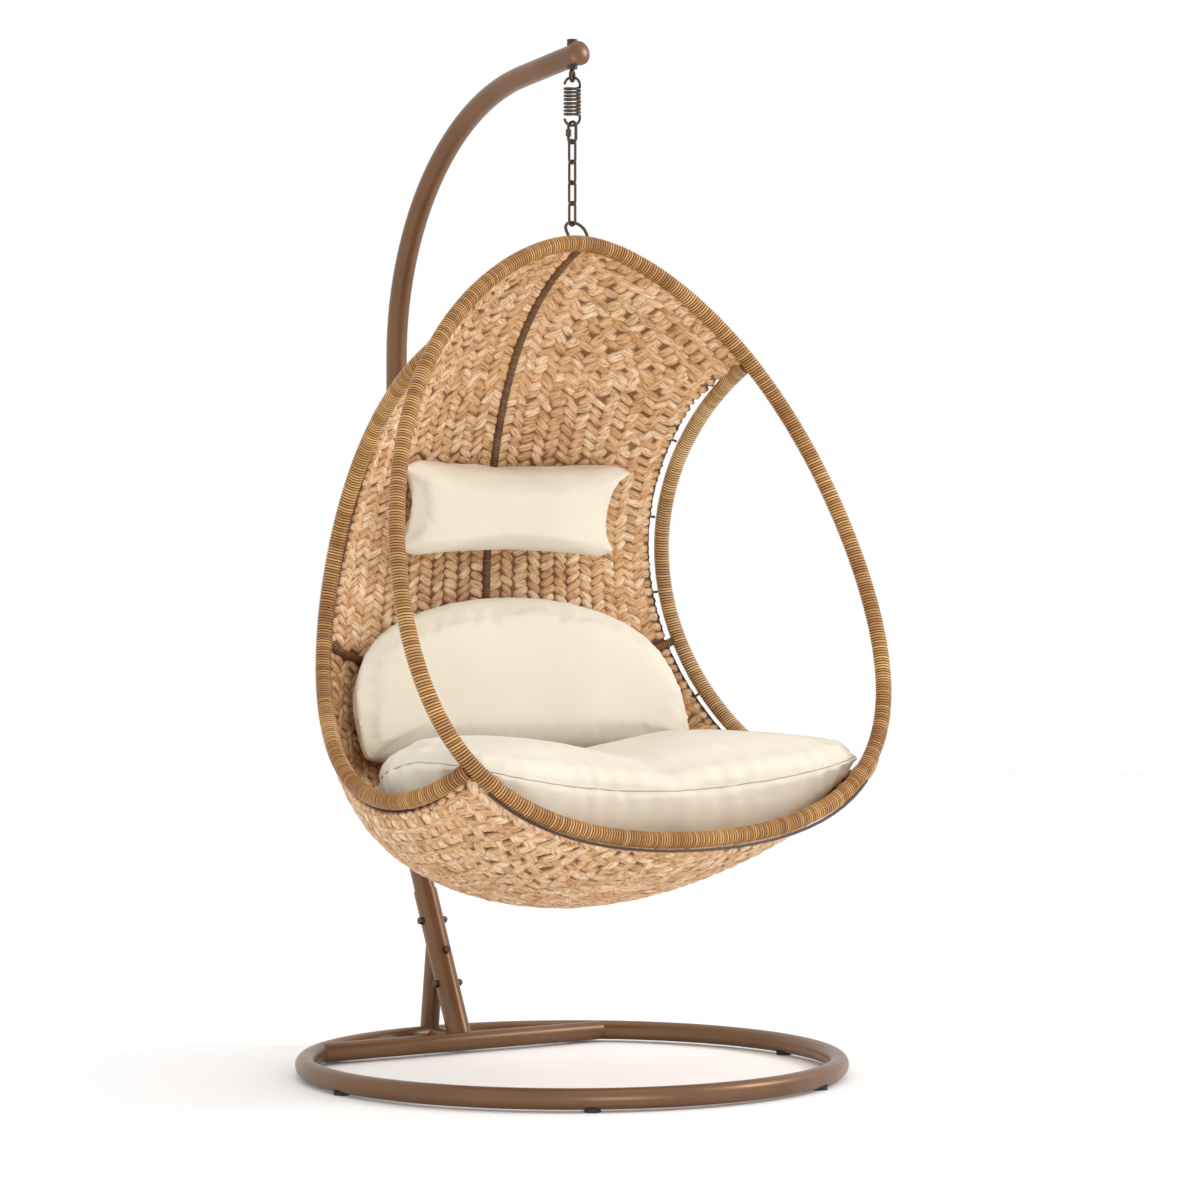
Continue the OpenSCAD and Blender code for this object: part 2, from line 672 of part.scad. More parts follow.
// The winding starts and ends at the middle of the rim's bottom
wrap_start = 0.998;
wrap_path = concat([[-rim_at(wrap_start)[0], rim_at(wrap_start)[1], rim_at(wrap_start)[2]]],
    [for (i = [1:rim_rings / 2]) sided(rim_at(1 - 2 * i / rim_rings), -1)],
    [for (i = [1:rim_rings / 2 - 1]) rim_at(2 * i / rim_rings)], [rim_at(wrap_start)]);

module front_rim_wrap() {
    color(winding) hollow_tube(wrap_path, wrap_r, frame_tube_d / 2 + wrap_gap, rim_sides, rim_normal);
}

module hoop(side) {
    color(bronze) difference() {
        hoop_cutter(side, frame_tube_d / 2);
        rim_cutter(wrap_r + wrap_gap);
    }
}

module hoop_wrap(side) {
    color(winding) difference() {
        hollow_tube(hoop_path(side), wrap_r, frame_tube_d / 2 + wrap_gap, rim_sides, [1, 0, 0]);
        rim_cutter(wrap_r + wrap_gap);
    }
}

rib_sides = 8;
spine_start = 0.01;
spine_stop = 2.98;
spine_rings = 40;
spine_path = [for (i = [0:spine_rings])
    inside_at(spine_start + (spine_stop - spine_start) * i / spine_rings, 0, rib_inward)];

module spine_cutter(r) {
    tube(spine_path, r, rib_sides, [1, 0, 0]);
}

module back_spine() {
    color(rib_brown) difference() {
        spine_cutter(rib_d / 2);
        rim_cutter(wrap_r + weave_gap);
    }
}

waist_u = 1 + waist;
waist_rings = 24;
waist_path = [for (i = [0:waist_rings]) inside_at(waist_u, -1 + 2 * i / waist_rings, rib_inward)];

module waist_cutter(r) {
    tube(waist_path, r, rib_sides, [0, 0, 1]);
}

module waist_ribs() {
    color(rib_brown) difference() {
        waist_cutter(rib_d / 2);
        spine_cutter(rib_d / 2 + weave_gap);
        for (side = [-1, 1]) hoop_cutter(side, wrap_r + weave_gap);
    }
}

rod_start = 1.09;
rod_stop = 1.9;
rod_waist_gap = 0.018;
tie_root = 3;
rod_rings = 14;
function rod_path(side, from, to) = [for (i = [0:rod_rings]) let (u = from + (to - from) * i / rod_rings)
    weave_at(u, side * edge_share(u, rod_inset))];

// The rod is in two lengths, one for each half of the basket
module edge_rod(side) {
    color(rib_brown) {
        tube(rod_path(side, rod_start, waist_u - rod_waist_gap), rod_d / 2, 6, [1, 0, 0]);
        tube(rod_path(side, waist_u + rod_waist_gap, rod_stop), rod_d / 2, 6, [1, 0, 0]);
    }
}

front_rod_inset = wrap_r + rod_d / 2 + 5 * weave_gap;
front_rod_start = 2.12;
front_rod_rings = 24;
function front_rod_u(i) = let (s = abs(2 * i / front_rod_rings - 1))
    min(2.995, front_rod_start + (3 - front_rod_start) * (1 - s));

// A thin rod that lies under the front rim, on the rim's outside
front_rod_lean = [0.35, -0.2, -0.8];
function under_rim(i) = let (u = front_rod_u(i), side = i * 2 < front_rod_rings ? -1 : 1,
        p = rim_at(hoop_end + (1 - hoop_end) * (u - 2)), w = front_rod_lean,
        out = unit([w[0] * p[0], w[1] * basket_depth, w[2] * basket_depth]))
    sided(p + out * front_rod_inset, side);
front_rod_path = [for (i = [0:front_rod_rings]) under_rim(i)];

module front_edge_rod() {
    color(rib_brown) tube(front_rod_path, rod_d / 2, 6, [0, 1, 0]);
}

tie_places = [1.12, 1.24, 1.36, 1.54, 1.66, 1.78, 1.88];

// Short ties across the gap between each hoop and its edge rod, cut off at the hoop's winding
module edge_ties() {
    color(dark_bronze) for (side = [-1, 1]) difference() {
        for (u = tie_places) {
            to = weave_at(u, edge_share(u, rod_inset));
            along = edge_way(u);
            across = to - hoop_at(u - 1);
            way = unit(across - along * (across * along));
            reach = rod_inset - wrap_r + tie_root - rod_d / 2;
            start = sided(to - way * (reach + rod_d / 2), side);
            translate(start) rotate([0, acos(way[2]), atan2(way[1], way[0] * side)])
                cylinder(d = tie_d, h = reach - 2 * weave_gap, $fn = 12);
        }
        hoop_cutter(side, wrap_r + weave_gap);
    }
}

// The shell's rows run from the rim's top to its bottom, and its columns from side to side
shell_columns = 20;
function inset_at(u) = u <= 1 || u >= 2 ? 0 : shell_inset * min(1, 20 * (u - 1), 20 * (2 - u));
function weave_row(u, inward) = let (m = edge_share(u, inset_at(u)))
    [for (j = [0:shell_columns]) inside_at(u, m * (2 * j / shell_columns - 1), inward)];

module weave(rows) {
    n = len(rows);
    w = shell_columns + 1;
    inner = [for (u = rows) each weave_row(u, weave_t / 2)];
    outer = [for (u = rows) each weave_row(u, -weave_t / 2)];
    m = n * w;
    sheet = [for (i = [0:n - 2]) for (j = [0:w - 2]) each let (a = i * w + j, b = a + w)
        [[a, a + 1, b + 1], [a, b + 1, b]]];
    under = [for (f = sheet) [f[0] + m, f[2] + m, f[1] + m]];
    ends = [for (j = [0:w - 2]) each let (a = j, b = (n - 1) * w + j)
        [[a + 1, a, a + m], [a + 1, a + m, a + 1 + m], [b, b + 1, b + 1 + m], [b, b + 1 + m, b + m]]];
    sides = [for (i = [0:n - 2]) each let (a = i * w, b = a + w - 1)
        [[a, a + w, a + w + m], [a, a + w + m, a + m],
         [b + w, b, b + m], [b + w, b + m, b + w + m]]];
    polyhedron(concat(inner, outer), concat(sheet, under, ends, sides));
}

module shell_cutters() {
    rim_cutter(wrap_r + weave_gap);
    for (side = [-1, 1]) hoop_cutter(side, wrap_r + weave_gap);
    spine_cutter(rib_d / 2 + weave_gap);
    waist_cutter(rib_d / 2 + weave_gap);
}

// The two shells keep apart by this share on each side of the waist
waist_seam = 0.0003;
weave_start = 0.05;
weave_stop = 2.97;
rim_row = 0.115;
upper_rows = concat([weave_start], [for (i = [1:8]) rim_row * i],
    [for (i = [1:12]) 1 + (waist - waist_seam) * i / 12]);
lower_rows = concat([for (i = [0:14]) waist_u + waist_seam + (1 - waist - waist_seam) * i / 14],
    [for (i = [1:7]) 2 + i / 8], [weave_stop]);

module back_shell() {
    color(straw) difference() {
        weave(upper_rows);
        shell_cutters();
    }
}

module seat_shell() {
    color(straw) difference() {
        weave(lower_rows);
        shell_cutters();
    }
}

// A closed pad over a square of rings: each ring is a share r of the outline, and top and
// bottom points come from two lists of the same size
pad_rings = 8;
pad_sides = 36;
function pad_faces() = let (top = 1, low = 1 + pad_rings * pad_sides, last = pad_rings - 1)
    concat([for (k = [0:pad_sides - 1]) [0, top + (k + 1) % pad_sides, top + k]],
        skin_faces(pad_rings, pad_sides, false, top),
        [for (k = [0:pad_sides - 1]) each let (l = (k + 1) % pad_sides, a = top + last * pad_sides,
            b = low + (pad_rings - 2) * pad_sides) [[a + k, a + l, b + l], [a + k, b + l, b + k]]],
        flipped(skin_faces(pad_rings - 1, pad_sides, false, low)),
        [for (k = [0:pad_sides - 1]) [low + (pad_rings - 1) * pad_sides, low + k, low + (k + 1) % pad_sides]]);

// Rounded square: a circle's point pushed out towards the corners
function squared(a, power) = let (c = abs(cos(a)), s = abs(sin(a)), k = pow(pow(c, power) + pow(s, power), -1 / power))
    [cos(a) * k, sin(a) * k];
function ring_share(i) = sin(90 * i / pad_rings);

pad_angles = [for (k = [0:pad_sides - 1]) 360 * k / pad_sides];
function bulge(r) = sqrt(max(0, 1 - pow(r, 4)));

// Seat: its outline on the weave, in the shell's own shares, widest at the middle row
seat_from = 1.77;
seat_middle = 2.05;
seat_to = 2.92;
seat_front_power = 3.2;
seat_back_power = 5;
function seat_uv(r, a) = let (front = sin(a) > 0, q = squared(a, front ? seat_front_power : seat_back_power) * r,
        u = seat_middle + q[1] * (front ? seat_to - seat_middle : seat_middle - seat_from))
    [u, q[0] * edge_share(u, wrap_r + seat_room)];
seat_seam_z = rim_top[2] - seat_seam_drop;
seat_fall_y = -200;
seat_fall = 0.17;
seat_top_fall = 0.35;
seat_dip_w = 140;
seat_low_share = 0.6;
// Share of half the basket's width at which the seam has risen in full
seat_rise_share = 0.8;
function seat_seam(p) = seat_seam_z + seat_side_rise * pow(p[0] / (seat_rise_share * basket_w / 2), 2)
    - seat_fall * max(0, p[1] - seat_fall_y);
function seat_top(p) = seat_seam_z + seat_crown - seat_dip * exp(-pow(p[0] / seat_dip_w, 2))
    - seat_top_fall * max(0, p[1]);
function seat_spot(r, a) = let (uv = seat_uv(r, a)) inside_at(uv[0], uv[1], seat_lift);
// The underside stays wide, so that the cushion's sides stand up
function seat_low(p, r) = [p[0], p[1], p[2] + (seat_seam(p) - p[2]) * pow(r, 9)];
function seat_high(p, r) = [p[0], p[1], seat_seam(p) + (seat_top(p) - seat_seam(p)) * bulge(r)];

module pad(tops, lows) {
    polyhedron(concat(tops, lows), flipped(pad_faces()));
}

module seat_cushion() {
    tops = concat([seat_high(seat_spot(0, 0), 0)], [for (i = [1:pad_rings]) let (r = ring_share(i))
        for (a = pad_angles) seat_high(seat_spot(r, a), r)]);
    lows = concat([for (i = [1:pad_rings - 1]) let (r = ring_share(i))
        for (a = pad_angles) seat_low(seat_spot(pow(r, seat_low_share), a), r)], [seat_low(seat_spot(0, 0), 0)]);
    color(ivory) pad(tops, lows);
}

// The weave's shares at a real distance to the side and a real height, found step by step
function side_share(x, u) = sign(x) * asin(min(1, abs(x) / edge_at(u)[0] * sin(arc_end))) / arc_end;
function on_back(x, z, u = 1.35, steps = 6) =
    steps == 0 ? [u, side_share(x, u)]
    : let (v = side_share(x, u), here = weave_at(u, v)[2], next = weave_at(u + 0.01, v)[2])
        on_back(x, z, u + max(-0.1, min(0.1, 0.01 * (z - here) / (next - here))), steps - 1);

// A pad that lies against the back, from a list of [sideways, height, ring share], thinner by a
// share towards its two sides
module pad_on_back(spots, thick, half_w, thinner) {
    places = [for (s = spots) let (uv = on_back(s[0], s[1]))
        [uv[0], uv[1], thick / 2 * (1 - thinner * pow(s[0] / half_w, 2)), s[2]]];
    tops = [for (p = places) inside_at(p[0], p[1], pad_lift + p[2] * (1 + bulge(p[3])))];
    lows = [for (k = [1:len(places) - pad_sides - 1]) let (p = places[k])
        inside_at(p[0], p[1], pad_lift + p[2] * pow(p[3], 9))];
    pad(tops, concat(lows, [inside_at(places[0][0], 0, pad_lift)]));
}

back_half_w = basket_w / 2 - back_pad_room;
back_z = rim_top[2] - back_pad_drop;
back_arch_power = 2.2;
back_foot_power = 8;
back_pad_thinner = 0.5;
function back_spot(r, a) = let (up = sin(a) < 0, q = squared(a, up ? back_arch_power : back_foot_power) * r)
    [back_half_w * q[0], back_z - q[1] * (up ? back_pad_up : back_pad_down), r];

module back_cushion() {
    color(ivory) pad_on_back([for (i = [0:pad_rings]) for (a = i == 0 ? [0] : pad_angles)
        back_spot(ring_share(i), a)], back_pad_t, back_half_w, back_pad_thinner);
}

pillow_z = rim_top[2] - pillow_drop;
pillow_power = 14;
pillow_thinner = 0.45;
// The pillow is wider at its upper corners than at its lower ones
pillow_flare = 0.04;
function pillow_spot(r, a) = let (q = squared(a, pillow_power) * r)
    [q[0] * (pillow_w / 2 - pillow_draw * (1 - q[1] * q[1])) * (1 - pillow_flare * (1 + q[1])),
     pillow_z - q[1] * (pillow_h / 2 - pillow_sag * (1 - q[0] * q[0])), r];

module head_pillow() {
    color(ivory) pad_on_back([for (i = [0:pad_rings]) for (a = i == 0 ? [0] : pad_angles)
        pillow_spot(ring_share(i), a)], pillow_t, pillow_w / 2, pillow_thinner);
}

base_ring();
base_crossbar();
base_link_tube();
base_glides();
post_sleeve();
rear_strut();
main_pole();
pole_end_cap();
pole_bush();
post_bolts();
post_nuts();
post_washers();
eye_bolt();
eye_bolt_nut();
eye_bolt_washer();
spring();
quick_link();
quick_link_nut();
chain_link(0);  // chain_link_1
chain_link(1);  // chain_link_2
chain_link(2);  // chain_link_3
chain_link(3);  // chain_link_4
basket_loop();
front_rim();
front_rim_wrap();
hoop(1);  // left_hoop
hoop(-1);  // right_hoop
hoop_wrap(1);  // left_hoop_wrap
hoop_wrap(-1);  // right_hoop_wrap
back_spine();
waist_ribs();
edge_rod(1);  // left_edge_rod
edge_rod(-1);  // right_edge_rod
front_edge_rod();
edge_ties();
back_shell();
seat_shell();
seat_cushion();
back_cushion();
head_pillow();
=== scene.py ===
import json
import math

import bmesh
import bpy
import numpy as np
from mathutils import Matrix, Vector
from mathutils.bvhtree import BVHTree
from mathutils.kdtree import KDTree


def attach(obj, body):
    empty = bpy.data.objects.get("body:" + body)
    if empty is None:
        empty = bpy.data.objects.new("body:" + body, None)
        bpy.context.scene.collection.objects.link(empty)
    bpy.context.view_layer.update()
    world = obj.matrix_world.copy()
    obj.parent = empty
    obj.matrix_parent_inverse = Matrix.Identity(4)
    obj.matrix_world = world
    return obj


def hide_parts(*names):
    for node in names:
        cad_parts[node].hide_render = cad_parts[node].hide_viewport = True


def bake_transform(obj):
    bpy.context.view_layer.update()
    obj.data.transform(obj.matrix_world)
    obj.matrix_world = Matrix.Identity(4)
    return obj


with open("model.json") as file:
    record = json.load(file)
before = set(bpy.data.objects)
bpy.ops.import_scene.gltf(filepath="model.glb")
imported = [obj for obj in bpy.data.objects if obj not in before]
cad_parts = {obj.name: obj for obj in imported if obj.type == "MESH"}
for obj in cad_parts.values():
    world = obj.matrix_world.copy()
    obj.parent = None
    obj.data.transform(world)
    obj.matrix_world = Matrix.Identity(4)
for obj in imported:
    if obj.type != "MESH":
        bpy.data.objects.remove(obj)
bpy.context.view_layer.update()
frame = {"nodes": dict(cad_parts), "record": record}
scene = bpy.context.scene
nodes = frame["nodes"]
rng = np.random.default_rng(7)
LEFT, RIGHT = 1, -1

# ---------------------------------------------------------------- camera
LENS = 106.5
CAM_AT = Vector((-3.7595, -5.5627, 0.896))
LOOK = Vector((0.5664, 0.8241, 0.0))
cam_data = bpy.data.cameras.new("camera")
cam_data.sensor_width = 36
cam_data.lens = LENS
cam_data.clip_end = 60
camera = bpy.data.objects.new("camera", cam_data)
camera.location = CAM_AT
camera.rotation_euler = LOOK.to_track_quat("-Z", "Y").to_euler()
scene.collection.objects.link(camera)
scene.camera = camera

# ---------------------------------------------------------------- the basket's surface, as in part.scad
# all lengths are in metres
HOOK_Z, EYE_DROP = 1.925, 0.047
EYE_WIRE, SPRING_WIRE, QUICK_WIRE, CHAIN_WIRE, LOOP_WIRE = 0.007, 0.0055, 0.006, 0.005, 0.006
LINK_GAP, SKEW_GAP = 0.0003, 0.001
COIL_R, COIL_PITCH, COIL_TURNS, LOOP_BEND = 0.0145, 0.0068, 8, 0.004
QUICK_LEN, LINK_INSIDE, LINK_COUNT, BASKET_LOOP_H = 0.040, 0.0394, 4, 0.0425
RIM_FORWARD, BASKET_W, BASKET_DEPTH, BASKET_H = 0.030, 1.050, 0.700, 1.103
SPRING_TOP = HOOK_Z - EYE_DROP + (EYE_WIRE + SPRING_WIRE) / 2 + LINK_GAP
SPRING_LOW = SPRING_TOP - (COIL_TURNS * COIL_PITCH + 2 * LOOP_BEND + 2 * COIL_R)
QUICK_TOP = SPRING_LOW + (SPRING_WIRE + QUICK_WIRE) / 2 + LINK_GAP + SKEW_GAP
FIRST_LINK = QUICK_TOP - QUICK_LEN + (QUICK_WIRE + CHAIN_WIRE) / 2 + LINK_GAP
CHAIN_LOW = FIRST_LINK - (LINK_COUNT - 1) * (LINK_INSIDE - LINK_GAP) - (LINK_INSIDE + CHAIN_WIRE)
BASKET_LOOP_Z = CHAIN_LOW + (CHAIN_WIRE + LOOP_WIRE) / 2 + LINK_GAP
RIM_TOP = np.array([0.0, -RIM_FORWARD, BASKET_LOOP_Z - BASKET_LOOP_H])
BASKET = np.array([BASKET_W / 2, BASKET_DEPTH, -BASKET_H])
RIM_SHAPE = [[0, 0, 0], [0.37, 0, 0], [0.89, -0.055, 0.2], [1, -0.14, 0.36],
             [1.02, -0.305, 0.605], [1.2, -0.46, 0.835], [0.92, -0.515, 1], [0, -0.515, 1]]
HOOP_SHAPE = [[0.7, 0.465, 0.335], [0.62, 0.595, 0.66], [0.94, 0.355, 0.91], [1.08, -0.175, 1.03]]
SPINE_SHAPE = [[0, 0.64, 0.165], [0, 0.505, 0.6], [0, 0.445, 0.995], [0, 0.59, 1.155], [0, 0.14, 1.255]]
HOOP_START, HOOP_END, WAIST, ARC_END = 0.27, 0.785, 0.445, math.radians(75)
# u runs down the basket's edge: 0 to 1 along the rim above the hoop, 1 to 2 along the hoop and 2 to 3 along
# the rim below it
U_START, U_END = 0.002, 3
WAIST_U = 1 + WAIST


def place(shape):
    return RIM_TOP + np.array(shape, float) * BASKET


def bezier(points, t):
    t = np.atleast_1d(np.asarray(t, float))[:, None]
    n = len(points) - 1
    return sum(math.comb(n, i) * t ** i * (1 - t) ** (n - i) * points[i] for i in range(n + 1))


RIM = place(RIM_SHAPE)
HOOP = np.vstack([bezier(RIM, HOOP_START), place(HOOP_SHAPE), bezier(RIM, HOOP_END)])
SPINE = np.vstack([RIM[:1], place(SPINE_SHAPE), RIM[7:]])


def edge_at(u):
    """The left edge of the woven surface."""
    u = np.atleast_1d(np.asarray(u, float))
    a = bezier(RIM, HOOP_START * np.clip(u, 0, 1))
    b = bezier(HOOP, np.clip(u - 1, 0, 1))
    c = bezier(RIM, HOOP_END + (1 - HOOP_END) * np.clip(u - 2, 0, 1))
    return np.where((u < 1)[:, None], a, np.where((u < 2)[:, None], b, c))


def run_of(points):
    """The length of a path up to each of its points."""
    return np.r_[0, np.cumsum(np.linalg.norm(np.diff(points, axis=0), axis=1))]


STEPS = 60
EDGE_U = np.linspace(0, U_END, STEPS + 1)
EDGE_RUN = run_of(edge_at(EDGE_U))
SPINE_T = np.linspace(0, 1, STEPS + 1)
SPINE_RUN = run_of(bezier(SPINE, SPINE_T))
ROW_T = np.interp(EDGE_RUN / EDGE_RUN[-1], SPINE_RUN / SPINE_RUN[-1], SPINE_T)


def weave_at(u, v):
    """A point of the woven surface: v is 0 at the spine, 1 at the left edge and -1 at the right edge."""
    u, v = np.broadcast_arrays(np.atleast_1d(np.asarray(u, float)), np.atleast_1d(np.asarray(v, float)))
    e = edge_at(u)
    s = bezier(SPINE, np.interp(u, EDGE_U, ROW_T))
    a = np.abs(v) * ARC_END
    across = (np.sin(a) / math.sin(ARC_END))[:, None]
    out = ((1 - np.cos(a)) / (1 - math.cos(ARC_END)))[:, None]
    p = s + (e - s) * out
    p[:, 0] = (np.sign(v)[:, None] * e[:, :1] * across)[:, 0]
    return p


def unit(v):
    """Vectors at length 1."""
    return v / np.maximum(np.linalg.norm(v, axis=-1, keepdims=True), 1e-12)


def frame_at(u, v, d=0.01):
    """Three directions at a point of the surface: down the basket, across it, and towards the sitter."""
    u = np.asarray(u, float)
    v = np.asarray(v, float)
    along = weave_at(np.minimum(u + d, U_END), v) - weave_at(np.maximum(u - d, U_START), v)
    over = weave_at(u, v + d) - weave_at(u, v - d)
    return unit(along), unit(over), unit(np.cross(along, over))


def inside_at(u, v, inward):
    """A point that lies a distance inward from the surface."""
    return weave_at(u, v) + frame_at(u, v)[2] * np.asarray(inward).reshape(-1, 1)


def edge_share(u, inset):
    """The share v that lies a distance inset from the edge."""
    u = np.atleast_1d(np.asarray(u, float))
    part = np.where(u < 1, 0, np.where(u < 2, 1, 2))
    part_end = part + 0.99999
    step_u, step_v = 0.01, 0.04
    way = unit(edge_at(np.minimum(part_end, u + step_u)) - edge_at(np.maximum(part, u - step_u)))
    d = (weave_at(u, np.ones_like(u)) - weave_at(u, np.full(len(u), 1 - step_v))) / step_v
    return 1 - inset / np.linalg.norm(np.cross(d, way), axis=1)


# ---------------------------------------------------------------- mesh helpers
def point_values(mesh, name, values):
    attribute = mesh.attributes.new(name, "FLOAT", "POINT")
    attribute.data.foreach_set("value", np.asarray(values, np.float32))


def make(name, verts, faces, body, material, tones=None, uvs=None, shades=None, covers=()):
    """One smooth piece that rides on a body, with a tone and a painted shade for its material at each point.
    """
    mesh = bpy.data.meshes.new(name)
    mesh.from_pydata([tuple(p) for p in verts], [], [tuple(int(i) for i in f) for f in faces])
    mesh.shade_smooth()
    if tones is not None:
        point_values(mesh, "tone", tones)
    if shades is not None:
        point_values(mesh, "shade", shades)
    if uvs is not None:
        layer = mesh.uv_layers.new(name="UVMap")
        loops = np.empty(len(mesh.loops), np.int32)
        mesh.loops.foreach_get("vertex_index", loops)
        layer.data.foreach_set("uv", np.asarray(uvs, np.float32)[loops].ravel())
    mesh.materials.append(material)
    obj = bpy.data.objects.new(name, mesh)
    scene.collection.objects.link(obj)
    if body:
        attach(obj, body)
    if covers:
        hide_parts(*covers)
    return obj


def resample(path, step):
    """The path with points at even steps, and the length up to each."""
    run = run_of(path)
    count = max(2, int(round(run[-1] / step)))
    s = np.linspace(0, run[-1], count + 1)
    return np.stack([np.interp(s, run, path[:, k]) for k in range(3)], 1), s


def path_sides(path, first, closed=False):
    """Two directions square to the path at each point: towards first, or carried along without a twist."""
    t = unit(np.roll(path, -1, 0) - np.roll(path, 1, 0)) if closed else unit(np.gradient(path, axis=0))
    if first is None:
        carried = [unit(np.cross(t[0], [0.3, 0.5, 0.8]))]
        for i in range(1, len(t)):
            carried.append(unit(carried[-1] - t[i] * np.dot(carried[-1], t[i])))
        a = np.array(carried)
    else:
        first = np.asarray(first, float)
        a = unit(first - t * (t @ first)[:, None])
    return a, np.cross(t, a)


def rings_round(path, a, b, angles, radius):
    """The points of a tube: a ring round each point of the path."""
    out = a[:, None] * np.cos(angles)[None, :, None] + b[:, None] * np.sin(angles)[None, :, None]
    return (path[:, None] + out * radius).reshape(-1, 3)


def grid_faces(rings, sides, closed=False):
    """The faces of a tube, with a cap at each end unless it closes on itself."""
    spans = rings if closed else rings - 1
    i = np.arange(spans)[:, None] * sides
    j = ((np.arange(spans) + 1) % rings)[:, None] * sides
    k = np.arange(sides)[None]
    l = (k + 1) % sides
    faces = np.stack([i + k, i + l, j + l, j + k], -1).reshape(-1, 4).tolist()
    if not closed:
        faces.append(list(range(sides))[::-1])
        faces.append([(rings - 1) * sides + q for q in range(sides)])
    return faces


TURN_STEPS = 8
RIDGE_ROUND = 0.98
TURN_SCATTER, SCATTER_SINK = 0.000144, 0.8
# how the painted shade in the grooves between turns gives way to the strand's colour towards each ridge's
# top
GROOVE_SHADE_SLOPE, GROOVE_SHADE_SINK = 2.3, 0.42


def ridged_tube(name, path, radius, pitch, depth, body, material, sides=14, covers=(), first=None,
                closed=False):
    """A round core wound with one strand: each turn is a rounded ridge, and the turns lean like a helix."""
    points, s = resample(path, pitch / TURN_STEPS)
    if closed:
        points, s = points[:-1], s[:-1]
    a, b = path_sides(points, first, closed)
    length = s[-1] + s[1] if closed else s[-1]
    turns = round(length / pitch) if closed else length / pitch
    phase = (s / length * turns)[:, None] + np.arange(sides)[None] / sides
    turn = np.floor(phase).astype(int)
    x = 2 * (phase - turn) - 1
    ridge = np.sqrt(np.clip(1 - (RIDGE_ROUND * x) ** 2, 0, 1))
    r = radius - depth * (1 - ridge) + TURN_SCATTER * (rng.random(turn.max() + 2)[turn] - SCATTER_SINK)
    tone = rng.random(turn.max() + 2)[turn]
    angles = 2 * np.pi * np.arange(sides) / sides
    uv = np.stack([np.broadcast_to(angles / (2 * np.pi), phase.shape), phase], -1)
    # painted shade: darkest in the groove between two turns
    shade = np.clip(GROOVE_SHADE_SLOPE * (1 - np.abs(x)) - GROOVE_SHADE_SINK, 0, 1)
    verts = rings_round(points, a, b, angles, r[..., None])
    return make(name, verts, grid_faces(len(points), sides, closed), body, material, tones=tone.ravel(),
                uvs=uv.reshape(-1, 2), shades=shade.ravel(), covers=covers)


def plain_tube(name, path, radius, body, material, sides, step, covers=()):
    """A smooth round tube along a path."""
    points, _ = resample(path, step)
    a, b = path_sides(points, None)
    angles = 2 * np.pi * np.arange(sides) / sides
    verts = rings_round(points, a, b, angles, radius)
    return make(name, verts, grid_faces(len(points), sides), body, material, covers=covers)


# ---------------------------------------------------------------- materials
class Nodes:
    """Short names for building one material."""

    def __init__(self, name):
        self.mat = bpy.data.materials.new(name)
        self.mat.use_nodes = True
        self.tree = self.mat.node_tree
        self.shader = self.tree.nodes["Principled BSDF"]
        self.place = self.node("ShaderNodeTexCoord").outputs["Object"]

    def node(self, kind, **settings):
        n = self.tree.nodes.new(kind)
        for key, value in settings.items():
            setattr(n, key, value)
        return n

    def link(self, a, b):
        self.tree.links.new(a, b)

    def mapped(self, source, scale):
        n = self.node("ShaderNodeMapping")
        n.inputs["Scale"].default_value = scale
        self.link(source, n.inputs["Vector"])
        return n.outputs["Vector"]

    def noise(self, scale, detail=3.0, source=None, rough=0.5):
        n = self.node("ShaderNodeTexNoise")
        n.inputs["Scale"].default_value = scale
        n.inputs["Detail"].default_value = detail
        n.inputs["Roughness"].default_value = rough
        self.link(source or self.place, n.inputs["Vector"])
        return n.outputs["Fac"]

    def wave(self, scale, source, distort=0.0, direction="X"):
        n = self.node("ShaderNodeTexWave", bands_direction=direction)
        n.inputs["Scale"].default_value = scale
        n.inputs["Distortion"].default_value = distort
        self.link(source, n.inputs["Vector"])
        return n.outputs["Fac"]

    def value(self, name):
        return self.node("ShaderNodeAttribute", attribute_name=name).outputs["Fac"]

    def ramp(self, source, stops):
        n = self.node("ShaderNodeValToRGB")
        while len(n.color_ramp.elements) < len(stops):
            n.color_ramp.elements.new(0.5)
        for e, (where, colour) in zip(n.color_ramp.elements, stops):
            e.position = where
            e.color = (*colour, 1)
        self.link(source, n.inputs["Fac"])
        return n.outputs["Color"]

    def mix(self, factor, a, b, kind="MIX"):
        n = self.node("ShaderNodeMix", data_type="RGBA", blend_type=kind)
        for value, port in ((factor, n.inputs["Factor"]), (a, n.inputs["A"]), (b, n.inputs["B"])):
            if isinstance(value, (int, float)):
                port.default_value = value
            elif isinstance(value, tuple):
                port.default_value = (*value, 1)
            else:
                self.link(value, port)
        return n.outputs["Result"]

    def math(self, operation, a, b=0.0):
        n = self.node("ShaderNodeMath", operation=operation)
        for value, port in ((a, n.inputs[0]), (b, n.inputs[1])):
            if isinstance(value, (int, float)):
                port.default_value = value
            else:
                self.link(value, port)
        return n.outputs[0]

    def scaled(self, source, low, high):
        n = self.node("ShaderNodeMapRange")
        n.inputs["To Min"].default_value = low
        n.inputs["To Max"].default_value = high
        self.link(source, n.inputs["Value"])
        return n.outputs["Result"]

    def bump(self, height, strength, distance):
        n = self.node("ShaderNodeBump")
        n.inputs["Strength"].default_value = strength
        n.inputs["Distance"].default_value = distance
        self.link(height, n.inputs["Height"])
        self.link(n.outputs["Normal"], self.shader.inputs["Normal"])

    def done(self, colour, roughness, metallic=0.0, **sockets):
        s = self.shader.inputs
        for value, port in ((colour, s["Base Color"]), (roughness, s["Roughness"])):
            if isinstance(value, tuple):
                port.default_value = (*value, 1)
            elif isinstance(value, (int, float)):
                port.default_value = value
            else:
                self.link(value, port)
        s["Metallic"].default_value = metallic
        for key, value in sockets.items():
            s[key.replace("_", " ")].default_value = value
        return self.mat


